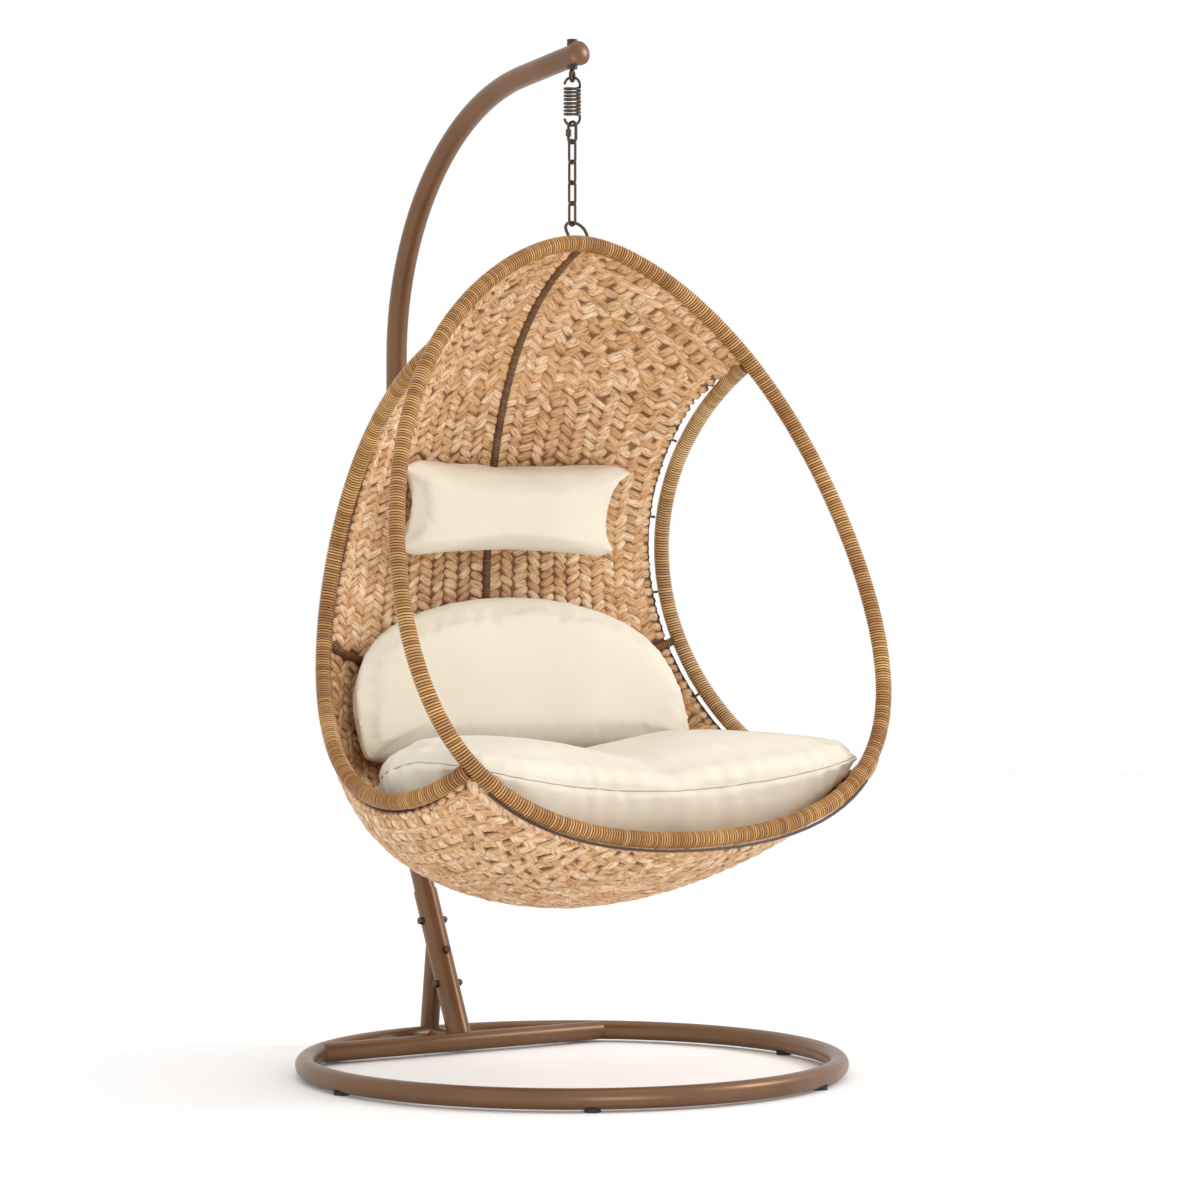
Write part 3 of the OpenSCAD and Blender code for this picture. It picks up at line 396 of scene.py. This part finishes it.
def metal(name, dark, light, roughness, metallic, worn=0.0):
    """A slightly uneven coat, also used for rubber and thread; worn adds lighter spots."""
    n = Nodes(name)
    large = n.noise(6.0, 4.0)
    fine = n.noise(900.0, 2.0)
    colour = n.ramp(large, [(0.3, dark), (0.7, light)])
    if worn:
        spots = n.ramp(n.noise(55.0, 6.0, rough=0.7), [(0.62, (0, 0, 0)), (0.74, (1, 1, 1))])
        colour = n.mix(n.math("MULTIPLY", spots, worn), colour, tuple(min(1.0, c * 1.7) for c in light))
    n.bump(fine, 0.08, 0.0004)
    return n.done(colour, n.scaled(n.noise(14.0), roughness - 0.06, roughness + 0.08), metallic)


def winding(name, groove_shade, dark, mid, light, roughness):
    """A wound strand: streaks along it, a tone for each turn, and painted shade in the grooves between the
    turns.
    """
    n = Nodes(name)
    uv = n.node("ShaderNodeUVMap", uv_map="UVMap").outputs["UV"]
    streak = n.noise(5.0, 3.0, n.mapped(uv, (1.4, 9.0, 1.0)))
    patch = n.noise(7.0, 3.0)
    level = n.math("ADD", n.math("MULTIPLY", n.value("tone"), 0.22),
                   n.math("ADD", n.math("MULTIPLY", streak, 0.35), n.math("MULTIPLY", patch, 0.5)))
    colour = n.ramp(level, [(0.34, dark), (0.54, mid), (0.74, light)])
    # painted shade: the groove colour where the shade attribute is low
    colour = n.mix(n.value("shade"), groove_shade, colour)
    n.bump(n.noise(6.0, 2.0, n.mapped(uv, (2.0, 24.0, 1.0))), 0.2, 0.0003)
    return n.done(colour, n.scaled(streak, roughness - 0.05, roughness + 0.1), 0.0, Coat_Weight=0.05,
                  Coat_Roughness=0.15, Specular_IOR_Level=0.35)


def strand(name, gap, dark, mid, light):
    """A fibrous strand of straw, with painted shade towards its rim and tips."""
    n = Nodes(name)
    uv = n.node("ShaderNodeUVMap", uv_map="UVMap").outputs["UV"]
    fibre = n.noise(1.0, 3.0, n.mapped(uv, (1.1, 6.5, 1.0)), 0.6)
    broad = n.noise(1.0, 2.0, n.mapped(uv, (0.8, 2.0, 1.0)))
    level = n.math("ADD", n.math("MULTIPLY", n.value("tone"), 0.20),
                   n.math("ADD", n.math("MULTIPLY", fibre, 0.52), n.math("MULTIPLY", broad, 0.28)))
    colour = n.ramp(level, [(0.30, dark), (0.5, mid), (0.70, light)])
    line = n.ramp(fibre, [(0.36, (0.60, 0.42, 0.28)), (0.48, (1, 1, 1))])
    colour = n.mix(0.8, colour, line, "MULTIPLY")
    # painted shade: the gap colour at the strand's rim and tips
    colour = n.mix(n.value("shade"), gap, colour)
    n.bump(fibre, 0.6, 0.0014)
    return n.done(colour, n.scaled(fibre, 0.6, 0.45), 0.0, Specular_IOR_Level=0.35)


def cloth(name, dark, light):
    """A plain-woven fabric."""
    n = Nodes(name)
    wide = n.noise(5.0, 3.0)
    colour = n.ramp(wide, [(0.3, dark), (0.7, light)])
    warp = n.wave(420.0, n.place, 1.2, "X")
    weft = n.wave(420.0, n.place, 1.2, "Z")
    slub = n.noise(160.0, 4.0)
    both = n.math("ADD", warp, weft)
    threads = n.math("ADD", n.math("MULTIPLY", both, 0.35), n.math("MULTIPLY", slub, 0.5))
    n.bump(threads, 0.18, 0.0006)
    return n.done(colour, 0.82, 0.0, Sheen_Weight=0.25, Sheen_Roughness=0.5, Specular_IOR_Level=0.25)


STAND = metal("stand_paint", (0.150, 0.076, 0.036), (0.200, 0.105, 0.052), 0.34, 0.55)
DARK = metal("dark_bronze_paint", (0.055, 0.037, 0.026), (0.105, 0.070, 0.048), 0.38, 0.7, worn=0.25)
RUBBER = metal("rubber", (0.018, 0.018, 0.018), (0.03, 0.03, 0.03), 0.8, 0.0)
# the first colour of each winding is the painted shade in its grooves
GOLD = winding("golden_winding", (0.026, 0.010, 0.003), (0.30, 0.120, 0.027), (0.53, 0.250, 0.067),
               (0.80, 0.46, 0.165), 0.3)
# painted light: a paler copy of the golden winding, for the left hoop
LIT_PALE_GOLD = winding("lit_pale_winding", (0.045, 0.020, 0.007), (0.34, 0.175, 0.061), (0.56, 0.32, 0.125),
                    (0.78, 0.52, 0.25), 0.34)
BROWN = winding("brown_winding", (0.03, 0.012, 0.004), (0.11, 0.048, 0.018), (0.22, 0.105, 0.040),
                (0.34, 0.18, 0.075), 0.4)
ROD = metal("rod_brown", (0.035, 0.018, 0.010), (0.075, 0.038, 0.020), 0.4, 0.0)
# the straw's first colour is the painted shade at the strands' rims and tips
STRAW = strand("straw", (0.15, 0.050, 0.015), (0.44, 0.21, 0.085), (0.70, 0.43, 0.22), (0.93, 0.74, 0.52))
# painted shade: the dark sheet seen in the gaps of the weave
SHADE_BEHIND = metal("under_weave_shade", (0.17, 0.070, 0.027), (0.27, 0.130, 0.056), 0.8, 0.0)
IVORY = cloth("ivory_cloth", (0.700, 0.634, 0.512), (0.750, 0.690, 0.575))
SEAM = metal("seam_thread", (0.36, 0.32, 0.24), (0.46, 0.41, 0.31), 0.8, 0.0)

LOOKS = {"stand_bronze": STAND, "dark_bronze": DARK, "frame_tube": STAND, "glide_rubber": RUBBER,
         "wicker_winding": GOLD, "brown_rib": ROD, "straw_weave": STRAW, "ivory_cushion": IVORY}

for name, node in nodes.items():
    slot = next(s["material_slot"] for s in frame["record"]["subparts"] if s["node"] == name)
    node.data.materials.clear()
    node.data.materials.append(LOOKS[slot])

# ---------------------------------------------------------------- windings on the rim, hoops and ribs
SAMPLES, WAIST_SAMPLES = 400, 160
WRAP_R, WRAP_PITCH, WRAP_DEPTH = 0.0155, 0.0054, 0.0027
HOOP_WOUND = (0.009, 0.991)
WEAVE_HALF = 0.006
RIB_R, RIB_SIDES = 0.0085, 12
SPINE_WOUND, SPINE_PITCH, SPINE_DEPTH = (0.02, 2.97), 0.0042, 0.0010
WAIST_WOUND, WAIST_PITCH, WAIST_DEPTH = (0.022, 0.962), 0.0048, 0.0011


def sided(path, side):
    """A path of the left side, or its mirror image on the right."""
    return path * [side, 1, 1]


def wind_rim():
    half = bezier(RIM, np.linspace(0, 1, SAMPLES))
    loop = np.vstack([half, sided(half[::-1], RIGHT)[1:]])
    ridged_tube("rim_winding", loop, WRAP_R, WRAP_PITCH, WRAP_DEPTH, "basket", GOLD,
                covers=("front_rim_wrap",), first=(0, 1, -0.35), closed=True)


def wind_hoop(side, name, material):
    path = bezier(HOOP, np.linspace(*HOOP_WOUND, SAMPLES))
    ridged_tube(name + "_hoop_winding", sided(path, side), WRAP_R, WRAP_PITCH, WRAP_DEPTH, "basket",
                material, covers=(name + "_hoop_wrap",), first=(1, 0, 0))


def bind_rib(name, u, v, pitch, depth, first, covers=()):
    """A rib inside the weave, bound with a finer strand."""
    path = inside_at(u, v, np.full(len(u), WEAVE_HALF))
    ridged_tube(name, path, RIB_R, pitch, depth, "basket", BROWN, sides=RIB_SIDES, covers=covers,
                first=first)


wind_rim()
# the left hoop takes the paler copy of the winding, painted light
wind_hoop(LEFT, "left", LIT_PALE_GOLD)
wind_hoop(RIGHT, "right", GOLD)
bind_rib("spine_winding", np.linspace(*SPINE_WOUND, SAMPLES), np.zeros(SAMPLES), SPINE_PITCH, SPINE_DEPTH,
         (1, 0, 0), ("back_spine",))
waist_u, waist_v = np.full(WAIST_SAMPLES, WAIST_U), np.linspace(*WAIST_WOUND, WAIST_SAMPLES)
bind_rib("left_waist_winding", waist_u, LEFT * waist_v, WAIST_PITCH, WAIST_DEPTH, (0, 0, 1), ("waist_ribs",))
bind_rib("right_waist_winding", waist_u, RIGHT * waist_v, WAIST_PITCH, WAIST_DEPTH, (0, 0, 1))

# ---------------------------------------------------------------- woven strands
ROD_GAP, ROD_R = 0.0065, 0.003
WEAVE_INSET = WRAP_R + ROD_GAP + ROD_R + 0.001
RIM_INSET = WRAP_R * 0.75
OPENING_FADE = 20
PAIR, ROW = 0.052, 0.0180
RISE_AT, FALL_AT = 0.30, 0.79
COLUMN_MARGIN = 0.020
STITCH_STEP, STITCH_START, STITCH_INSET, STITCH_GAP = 0.0190, 0.006, 0.0105, 0.001
RISE, FALL, STITCH = 0, 1, 2
# for each kind: its turn from level in degrees, half its length and half its width
LEAF = np.array([[22, 0.0218, 0.0104], [-50, 0.0218, 0.0094], [-24, 0.0118, 0.0088]])
TIGHTEST, LOOSEST = 0.62, 1.7
U_SCATTER, TURN_SPREAD, SIZE_SPREAD, LEVEL_SCATTER = 0.0010, 0.08, 0.07, 0.0004
LONG_STRETCH, WIDE_STRETCH, PAIR_STRETCH = 0.5, 1.12, 0.8
LEAF_LONG, LEAF_ACROSS = 9, 7
TIP_WIDTH, TIP_POWER = 0.12, 2.8
LEAF_ROUND, TIP_HEIGHT = 0.96, 0.4
LEAF_CROWN, LEAF_SINK = 0.0054, 0.0022
TIP_DROP, DROP_POWER = 0.0062, 2.6
FIBRE_RIDGE, FIBRE_WAVE = 0.0004, 9.4
# painted shade towards each strand's rim and tips, where the strands shade each other
RIM_SHADE_SLOPE, RIM_SHADE_SINK = 1.6, 0.35
TIP_SHADE, TIP_SHADE_FALL, TIP_SHADE_POWER = 1.75, 1.5, 1.5
GRAIN_ROOM = 40
FACE_INWARD = 0.0042
WEAVE_TOP, WEAVE_LOW, WAIST_MARGIN = 0.06, 2.955, 0.008


def limit_share(u):
    """The outermost share of each row that the weave reaches: the rim, or the edge rod beside an opening."""
    free = np.clip(np.minimum(OPENING_FADE * (u - 1), OPENING_FADE * (2 - u)), 0, 1)
    rod = edge_share(u, WEAVE_INSET)
    rim = edge_share(u, RIM_INSET)
    return np.where((u > 1) & (u < 2), rim + (rod - rim) * free, rim)


def row_length(u):
    """The length of each row from the spine to the edge."""
    v = np.linspace(0, 1, 25)
    return np.array([run_of(weave_at(np.full(25, x), v))[-1] for x in np.atleast_1d(u)])


def leaf_centres(u_from, u_to):
    """Each strand's u, v, kind, width against PAIR, side and the step in u to the next half row."""
    rows = np.linspace(u_from, u_to, SAMPLES)
    run = run_of(weave_at(rows, np.zeros(SAMPLES)) * 0.5 + edge_at(rows) * 0.5)
    count = int(run[-1] / ROW)
    u_rows = np.interp((np.arange(count * 2) + 0.5) / (2 * count) * run[-1], run, rows)
    centres = []
    for half_row, (u, length, limit, gap) in enumerate(zip(u_rows, row_length(u_rows), limit_share(u_rows),
                                                           np.gradient(u_rows))):
        pairs = max(3, round(length / PAIR))
        kind = FALL if half_row % 2 else RISE
        for column in range(pairs + 1 - kind):
            v = (column + (FALL_AT if kind == FALL else RISE_AT)) / pairs
            if v <= limit - COLUMN_MARGIN / length:
                centres += [(u, side * v, kind, length / pairs / PAIR, side, gap) for side in (RIGHT, LEFT)]
    edge_run = run_of(edge_at(rows))
    edge_u = np.interp(np.arange(STITCH_START, edge_run[-1], STITCH_STEP), edge_run, rows)
    edge_v = limit_share(edge_u) - STITCH_INSET / row_length(edge_u)
    centres += [(u, side * v, STITCH, 1, side, STITCH_GAP) for u, v in zip(edge_u, edge_v)
                for side in (RIGHT, LEFT)]
    return np.array(centres).T


def leaf_form():
    """One plump strand: shares along and across, the outline's width, the height and the painted shade."""
    a, b = np.meshgrid(np.linspace(-1, 1, LEAF_LONG), np.linspace(-1, 1, LEAF_ACROSS), indexing="ij")
    outline = np.sqrt(np.clip(1 - np.abs(a) ** TIP_POWER, 0, 1)) * (1 - TIP_WIDTH) + TIP_WIDTH
    crown = np.sqrt(np.clip(1 - (LEAF_ROUND * b) ** 2, 0, 1))
    height = LEAF_CROWN * crown * (TIP_HEIGHT + (1 - TIP_HEIGHT) * outline) - LEAF_SINK
    height += FIBRE_RIDGE * np.cos(b * FIBRE_WAVE) - TIP_DROP * np.abs(a) ** DROP_POWER
    shade = np.clip(RIM_SHADE_SLOPE * crown - RIM_SHADE_SINK, 0, 1)
    shade = shade * np.clip(TIP_SHADE - TIP_SHADE_FALL * np.abs(a) ** TIP_SHADE_POWER, 0, 1)
    return a, b, outline, height, shade


def leaf_faces(count, facing):
    """The faces of all strands, turned over where a strand's own directions face away."""
    i, j = np.meshgrid(np.arange(LEAF_LONG - 1), np.arange(LEAF_ACROSS - 1), indexing="ij")
    q = (i * LEAF_ACROSS + j).ravel()
    quad = np.stack([q, q + LEAF_ACROSS, q + LEAF_ACROSS + 1, q + 1], 1)
    faces = (np.arange(count) * LEAF_LONG * LEAF_ACROSS)[:, None, None] + quad[None]
    faces[facing < 0] = faces[facing < 0][:, :, ::-1]
    return faces.reshape(-1, 4)


def leaves(name, u_from, u_to, inward, covers=()):
    """Both halves of one face of the shell, in columns of plump strands that rise and fall in turn."""
    u, v, kind, wide, side, gap = leaf_centres(u_from, u_to)
    spread = np.linalg.norm(weave_at(np.minimum(u + gap, U_END), v) - weave_at(np.maximum(u - gap, 0), v),
                            axis=1) / ROW
    spread = np.where(kind == STITCH, 1, np.clip(spread, TIGHTEST, LOOSEST))
    jitter = rng.normal(0, 1, (len(u), 5))
    u = u + jitter[:, 0] * U_SCATTER
    along, over, normal = frame_at(u, v)
    away = np.sign(inward)
    over = over * side[:, None]
    down = unit(np.cross(over, normal))
    down = np.where((np.sum(down * along, 1) < 0)[:, None], -down, down)
    angle, half_length, half_width = LEAF[kind.astype(int)].T
    turn = (-np.radians(angle) + jitter[:, 1] * TURN_SPREAD)[:, None]
    axis = over * np.cos(turn) + down * np.sin(turn)
    flank = -over * np.sin(turn) + down * np.cos(turn)
    half_length = half_length * wide ** PAIR_STRETCH * spread ** LONG_STRETCH
    half_length = half_length * (1 + SIZE_SPREAD * jitter[:, 2])
    half_width = half_width * spread ** WIDE_STRETCH * (1 + SIZE_SPREAD * jitter[:, 3])
    centre = weave_at(u, v) + normal * (inward + away * jitter[:, 4] * LEVEL_SCATTER)[:, None]
    a, b, outline, height, shade = leaf_form()
    verts = (centre[:, None, None] + axis[:, None, None] * (a[None] * half_length[:, None, None])[..., None]
             + flank[:, None, None] * ((b * outline)[None] * half_width[:, None, None])[..., None]
             + normal[:, None, None] * (away * height)[None, ..., None])
    facing = np.sum(np.cross(axis, flank) * normal, 1) * away
    offset = rng.random((len(u), 2)) * GRAIN_ROOM
    uv = np.stack([a.ravel()[None] + offset[:, :1], b.ravel()[None] * 0.5 + offset[:, 1:]], -1)
    make(name, verts.reshape(-1, 3), leaf_faces(len(u), facing), "basket", STRAW,
         tones=np.repeat(rng.random(len(u)), a.size), shades=np.tile(shade.ravel(), len(u)),
         uvs=uv.reshape(-1, 2), covers=covers)


CORE_HALF, CORE_ROWS, CORE_COLUMNS = 0.0022, 50, 41
CORE_TOP, CORE_LOW = 0.05, 2.96


def core(name, u_from, u_to):
    """The thin sheet that the strands lie on, coloured dark as painted shade, seen only in the gaps."""
    rows = np.linspace(u_from, u_to, CORE_ROWS)
    u = np.repeat(rows, CORE_COLUMNS)
    v = (limit_share(rows)[:, None] * np.linspace(-1, 1, CORE_COLUMNS)[None]).ravel()
    inner, outer = (inside_at(u, v, np.full(len(u), side * CORE_HALF)) for side in (1, -1))
    number = np.arange(len(u)).reshape(CORE_ROWS, CORE_COLUMNS)
    sheet = np.stack([number[:-1, :-1], number[:-1, 1:], number[1:, 1:], number[1:, :-1]], -1).reshape(-1, 4)
    faces = sheet.tolist() + (sheet[:, ::-1] + len(u)).tolist()
    border = np.r_[number[0], number[1:, -1], number[-1, -2::-1], number[-2:0:-1, 0]]
    faces += [[q, p, p + len(u), q + len(u)] for p, q in zip(border, np.roll(border, -1))]
    make(name, np.vstack([inner, outer]), faces, "basket", SHADE_BEHIND)


core("back_weave_core", CORE_TOP, WAIST_U)
core("seat_weave_core", WAIST_U, CORE_LOW)
leaves("back_weave_inner", WEAVE_TOP, WAIST_U - WAIST_MARGIN, FACE_INWARD, ("back_shell",))
leaves("back_weave_outer", WEAVE_TOP, WAIST_U, -FACE_INWARD)
leaves("seat_weave_inner", WAIST_U + WAIST_MARGIN, WEAVE_LOW, FACE_INWARD, ("seat_shell",))
leaves("seat_weave_outer", WAIST_U, WEAVE_LOW, -FACE_INWARD)

# ---------------------------------------------------------------- spring
# a round wire with the same cross-section as the frame's six-sided one
SPRING_SEEN_R = 0.0025
SPRING_TURN = math.radians(-35)
LOOP_ANGLES, BEND_ANGLES = np.arange(175, 0, -8), np.arange(10, 90, 10)
COIL_STEPS = 28


def spring_path():
    """Half an end loop, the bend out of it and half the coil, and the same turned over below."""
    share = LOOP_BEND / COIL_R
    coil_top = SPRING_TOP - COIL_R - LOOP_BEND
    upper = [[COIL_R * math.cos(a), 0, SPRING_TOP - COIL_R + COIL_R * math.sin(a)]
             for a in np.radians(LOOP_ANGLES)]
    for b in np.radians(BEND_ANGLES):
        a = share * (1 - math.cos(b))
        upper.append([COIL_R * math.cos(a), COIL_R * math.sin(a), coil_top + LOOP_BEND * (1 - math.sin(b))])
    for k in np.linspace(0, COIL_TURNS / 2, COIL_TURNS // 2 * COIL_STEPS + 1):
        a = share + 2 * math.pi * k
        upper.append([COIL_R * math.cos(a), COIL_R * math.sin(a), coil_top - COIL_PITCH * k])
    upper = np.array(upper)
    middle = (SPRING_TOP + SPRING_LOW) / 2
    lower = upper[::-1] * [1, -1, -1] + [0, 0, 2 * middle]
    x, y, z = np.vstack([upper[:-1], [[COIL_R, 0, middle]], lower[1:]]).T
    c, s = math.cos(SPRING_TURN), math.sin(SPRING_TURN)
    return np.stack([x * c - y * s, x * s + y * c, z], 1)


spring = plain_tube("coil_spring", spring_path(), SPRING_SEEN_R, None, DARK, sides=10,
                    step=0.0022, covers=("spring",))
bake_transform(spring)


# ---------------------------------------------------------------- cushions
PRESSURE, FRAMES = 4.0, 20
CLOTH_MASS, CLOTH_QUALITY = 0.3, 5
STRETCH_STIFF, SHEAR_STIFF, BEND_STIFF = 18, 8, 0.6


def swell(obj):
    """The cushion as cloth under pressure, baked at the last frame."""
    cloth_sim = obj.modifiers.new("cloth", "CLOTH")
    settings = cloth_sim.settings
    settings.quality = CLOTH_QUALITY
    settings.mass = CLOTH_MASS
    settings.tension_stiffness = STRETCH_STIFF
    settings.compression_stiffness = STRETCH_STIFF
    settings.shear_stiffness = SHEAR_STIFF
    settings.bending_stiffness = BEND_STIFF
    settings.use_pressure = True
    settings.uniform_pressure_force = PRESSURE
    settings.effector_weights.gravity = 0
    cloth_sim.collision_settings.use_collision = False
    for f in range(1, FRAMES + 1):
        scene.frame_set(f)
    bake(obj)
    scene.frame_set(1)


def simulated(name, node, voxel, shrink, cap):
    """A stuffed cushion: the CAD solid remeshed, swollen by at most cap, and fitted to its old reach."""
    source = nodes[node]
    obj = bpy.data.objects.new(name, source.data.copy())
    scene.collection.objects.link(obj)
    remesh = obj.modifiers.new("remesh", "REMESH")
    remesh.mode = "VOXEL"
    remesh.voxel_size = voxel
    remesh.use_smooth_shade = True
    bake(obj)
    start = coords(obj.data) - vertex_normals(obj.data) * shrink
    write(obj.data, start)
    swell(obj)
    step = coords(obj.data) - start
    size = np.linalg.norm(step, axis=1, keepdims=True)
    write(obj.data, start + step * np.minimum(1, cap / np.maximum(size, 1e-9)))
    now, was = coords(obj.data), coords(source.data)
    share = (now - now.min(0)) / (now.max(0) - now.min(0))
    write(obj.data, was.min(0) + share * (was.max(0) - was.min(0)))
    return obj


def bake(obj):
    """The object's mesh with its modifiers applied."""
    graph = bpy.context.evaluated_depsgraph_get()
    graph.update()
    mesh = bpy.data.meshes.new_from_object(obj.evaluated_get(graph))
    obj.modifiers.clear()
    obj.data = mesh


def coords(mesh):
    """The mesh's points as an array."""
    out = np.empty(len(mesh.vertices) * 3, np.float32)
    mesh.vertices.foreach_get("co", out)
    return out.reshape(-1, 3).astype(float)


def write(mesh, co):
    mesh.vertices.foreach_set("co", co.astype(np.float32).ravel())
    mesh.update()


def vertex_normals(mesh):
    out = np.empty(len(mesh.vertices) * 3, np.float32)
    mesh.vertex_normals.foreach_get("vector", out)
    return out.reshape(-1, 3).astype(float)


def near_path(co, path):
    """For each point, the distance to a dense path, and how far along the path the nearest point lies."""
    tree = KDTree(len(path))
    for i, p in enumerate(path):
        tree.insert(p, i)
    tree.balance()
    run = run_of(path)
    d, s = np.empty(len(co)), np.empty(len(co))
    for i, p in enumerate(co):
        _, k, d[i] = tree.find(p)
        s[i] = run[k]
    return d, s


def onto(obj, path, lift):
    """The path laid on a cushion's surface, lifted a little."""
    bm = bmesh.new()
    bm.from_mesh(obj.data)
    tree = BVHTree.FromBMesh(bm)
    out = []
    for p in path:
        where, normal, _, _ = tree.find_nearest(Vector(p))
        out.append(np.array(where) + np.array(normal) * lift)
    bm.free()
    return np.array(out)


def smooth_path(path, times):
    """The path with each point drawn towards its neighbours, the ends kept."""
    for _ in range(times):
        path = np.vstack([path[:1], (path[:-2] + 2 * path[1:-1] + path[2:]) / 4, path[-1:]])
    return path


def finish_cushion(obj, body, node):
    """Its cloth, a finer surface, and what it is to the frame."""
    obj.data.shade_smooth()
    obj.data.materials.clear()
    obj.data.materials.append(IVORY)
    sub = obj.modifiers.new("subdivision", "SUBSURF")
    sub.levels = sub.render_levels = 1
    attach(obj, body)
    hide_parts(node)


def squared(a, power):
    """A point at angle a on a rounded square of half width 1; a higher power is squarer."""
    c, s = np.abs(np.cos(a)), np.abs(np.sin(a))
    k = (c ** power + s ** power) ** (-1 / power)
    return np.cos(a) * k, np.sin(a) * k


PAD_GAP, SEAT_SAG, SEAT_ROOM = 0.0004, 0.0029, 0.0085
SEAT_LIFT = WEAVE_HALF + RIB_R + PAD_GAP + SEAT_SAG
SEAT_INSET = WRAP_R + SEAT_ROOM
SEAT_FROM, SEAT_MIDDLE, SEAT_TO = 1.77, 2.05, 2.92
SEAT_FRONT_POWER, SEAT_BACK_POWER = 3.2, 5.0
SEAT_SEAM_Z = RIM_TOP[2] - 1.018
SEAT_SIDE_RISE, SEAT_SIDE_AT = 0.052, 0.42
SEAM_FALL, SEAM_FALL_FROM = 0.17, -0.2
# height or depth, reach and place of what the sewing does to the seat's surface
SEAM_DENT, SEAM_REACH = 0.0050, 0.006
EDGE_BULGE, EDGE_AT, EDGE_REACH = 0.0105, 0.032, 0.024
EDGE_SLOPE, EDGE_BASE = 2, 0.6
PUCKER, PUCKER_STEP, PUCKER_REACH, PUCKER_START = 0.0034, 0.047, 0.050, 0.008
WANDER, WANDER_RATE, FADE, FADE_RATE, FADE_PHASE = 2.1, 9.0, 0.4, 23.0, 1.0
CREASE, CREASE_REACH, CREASE_BACK, CREASE_FADE = 0.006, 0.030, 0.05, 0.12
PIPING_R, PIPING_LIFT, PIPING_SMOOTH = 0.0011, 0.0002, 8


def bell(distance, reach):
    """1 at no distance, falling off smoothly over the reach."""
    return np.exp(-(distance / reach) ** 2)


def seat_ring(count=480):
    """The seat cushion's sewn edge, all the way round."""
    a = np.linspace(0, 2 * np.pi, count + 1)
    front = np.sin(a) > 0
    x, y = np.where(front, squared(a, SEAT_FRONT_POWER), squared(a, SEAT_BACK_POWER))
    u = SEAT_MIDDLE + y * np.where(front, SEAT_TO - SEAT_MIDDLE, SEAT_MIDDLE - SEAT_FROM)
    p = inside_at(u, x * edge_share(u, SEAT_INSET), np.full(len(a), SEAT_LIFT))
    p[:, 2] = SEAT_SEAM_Z + SEAT_SIDE_RISE * (p[:, 0] / SEAT_SIDE_AT) ** 2 \
        - SEAM_FALL * np.maximum(0, p[:, 1] - SEAM_FALL_FROM)
    return p


def sew_seat(seat, ring):
    """The seam's dent, a rounder edge above it, puckers across it and a crease down the middle."""
    co, normals = coords(seat.data), vertex_normals(seat.data)
    d, s = near_path(co, ring)
    up = normals[:, 2]
    lines = np.sin(s * 2 * np.pi / PUCKER_STEP + WANDER * np.sin(s * WANDER_RATE))
    lines = lines * (1 - FADE + FADE * np.sin(s * FADE_RATE + FADE_PHASE))
    out = EDGE_BULGE * np.clip(up * EDGE_SLOPE + EDGE_BASE, 0, 1) * bell(d - EDGE_AT, EDGE_REACH)
    out -= SEAM_DENT * bell(d, SEAM_REACH)
    out += PUCKER * lines * bell(d, PUCKER_REACH) * (1 - bell(d, PUCKER_START))
    out -= CREASE * bell(co[:, 0], CREASE_REACH) * np.clip(up, 0, 1) \
        * np.clip((CREASE_BACK - co[:, 1]) / CREASE_FADE, 0, 1)
    write(seat.data, co + normals * out[:, None])


seat = simulated("seat_pad", "seat_cushion", voxel=0.009, shrink=0.004, cap=0.012)
seam = seat_ring()
sew_seat(seat, seam)
finish_cushion(seat, "basket", "seat_cushion")
plain_tube("seat_piping", smooth_path(onto(seat, seam, PIPING_LIFT), PIPING_SMOOTH), PIPING_R, "basket",
           SEAM, sides=8, step=0.004)

back = simulated("back_pad", "back_cushion", voxel=0.007, shrink=0.003, cap=0.010)
finish_cushion(back, "basket", "back_cushion")

pillow = simulated("pillow_pad", "head_pillow", voxel=0.006, shrink=0.003, cap=0.010)
finish_cushion(pillow, "basket", "head_pillow")

# ---------------------------------------------------------------- floor, light
FLOOR_HALF = 9
floor_mesh = bpy.data.meshes.new("floor")
corners = [(FLOOR_HALF * x, FLOOR_HALF * y, 0) for x, y in ((-1, -1), (1, -1), (1, 1), (-1, 1))]
floor_mesh.from_pydata(corners, [], [(0, 1, 2, 3)])
floor = bpy.data.objects.new("floor", floor_mesh)
paper = Nodes("paper")
floor_mesh.materials.append(paper.done((0.975, 0.975, 0.975), 0.9, 0.0, Specular_IOR_Level=0.1))
scene.collection.objects.link(floor)


def light(name, at, target, power, size):
    """A square lamp: its place, what it shines on, its power in watts and its width."""
    data = bpy.data.lights.new(name, "AREA")
    data.energy = power
    data.size = size
    lamp = bpy.data.objects.new(name, data)
    lamp.location = at
    lamp.rotation_euler = (Vector(target) - Vector(at)).to_track_quat("-Z", "Y").to_euler()
    scene.collection.objects.link(lamp)


light("key", (3.6, -2.2, 3.2), (0, 0, 0.9), 80, 1.2)
light("fill", (-1.2, -4.2, 0.35), (0, -0.3, 0.65), 42, 1.6)
light("top", (0.2, 0.2, 5.0), (0, 0, 0.8), 20, 3.0)
world = bpy.data.worlds.new("studio")
scene.world = world
world.use_nodes = True
world.node_tree.nodes["Background"].inputs["Color"].default_value = (1, 1, 1, 1)
world.node_tree.nodes["Background"].inputs["Strength"].default_value = 1.0
scene.view_settings.view_transform = "Standard"
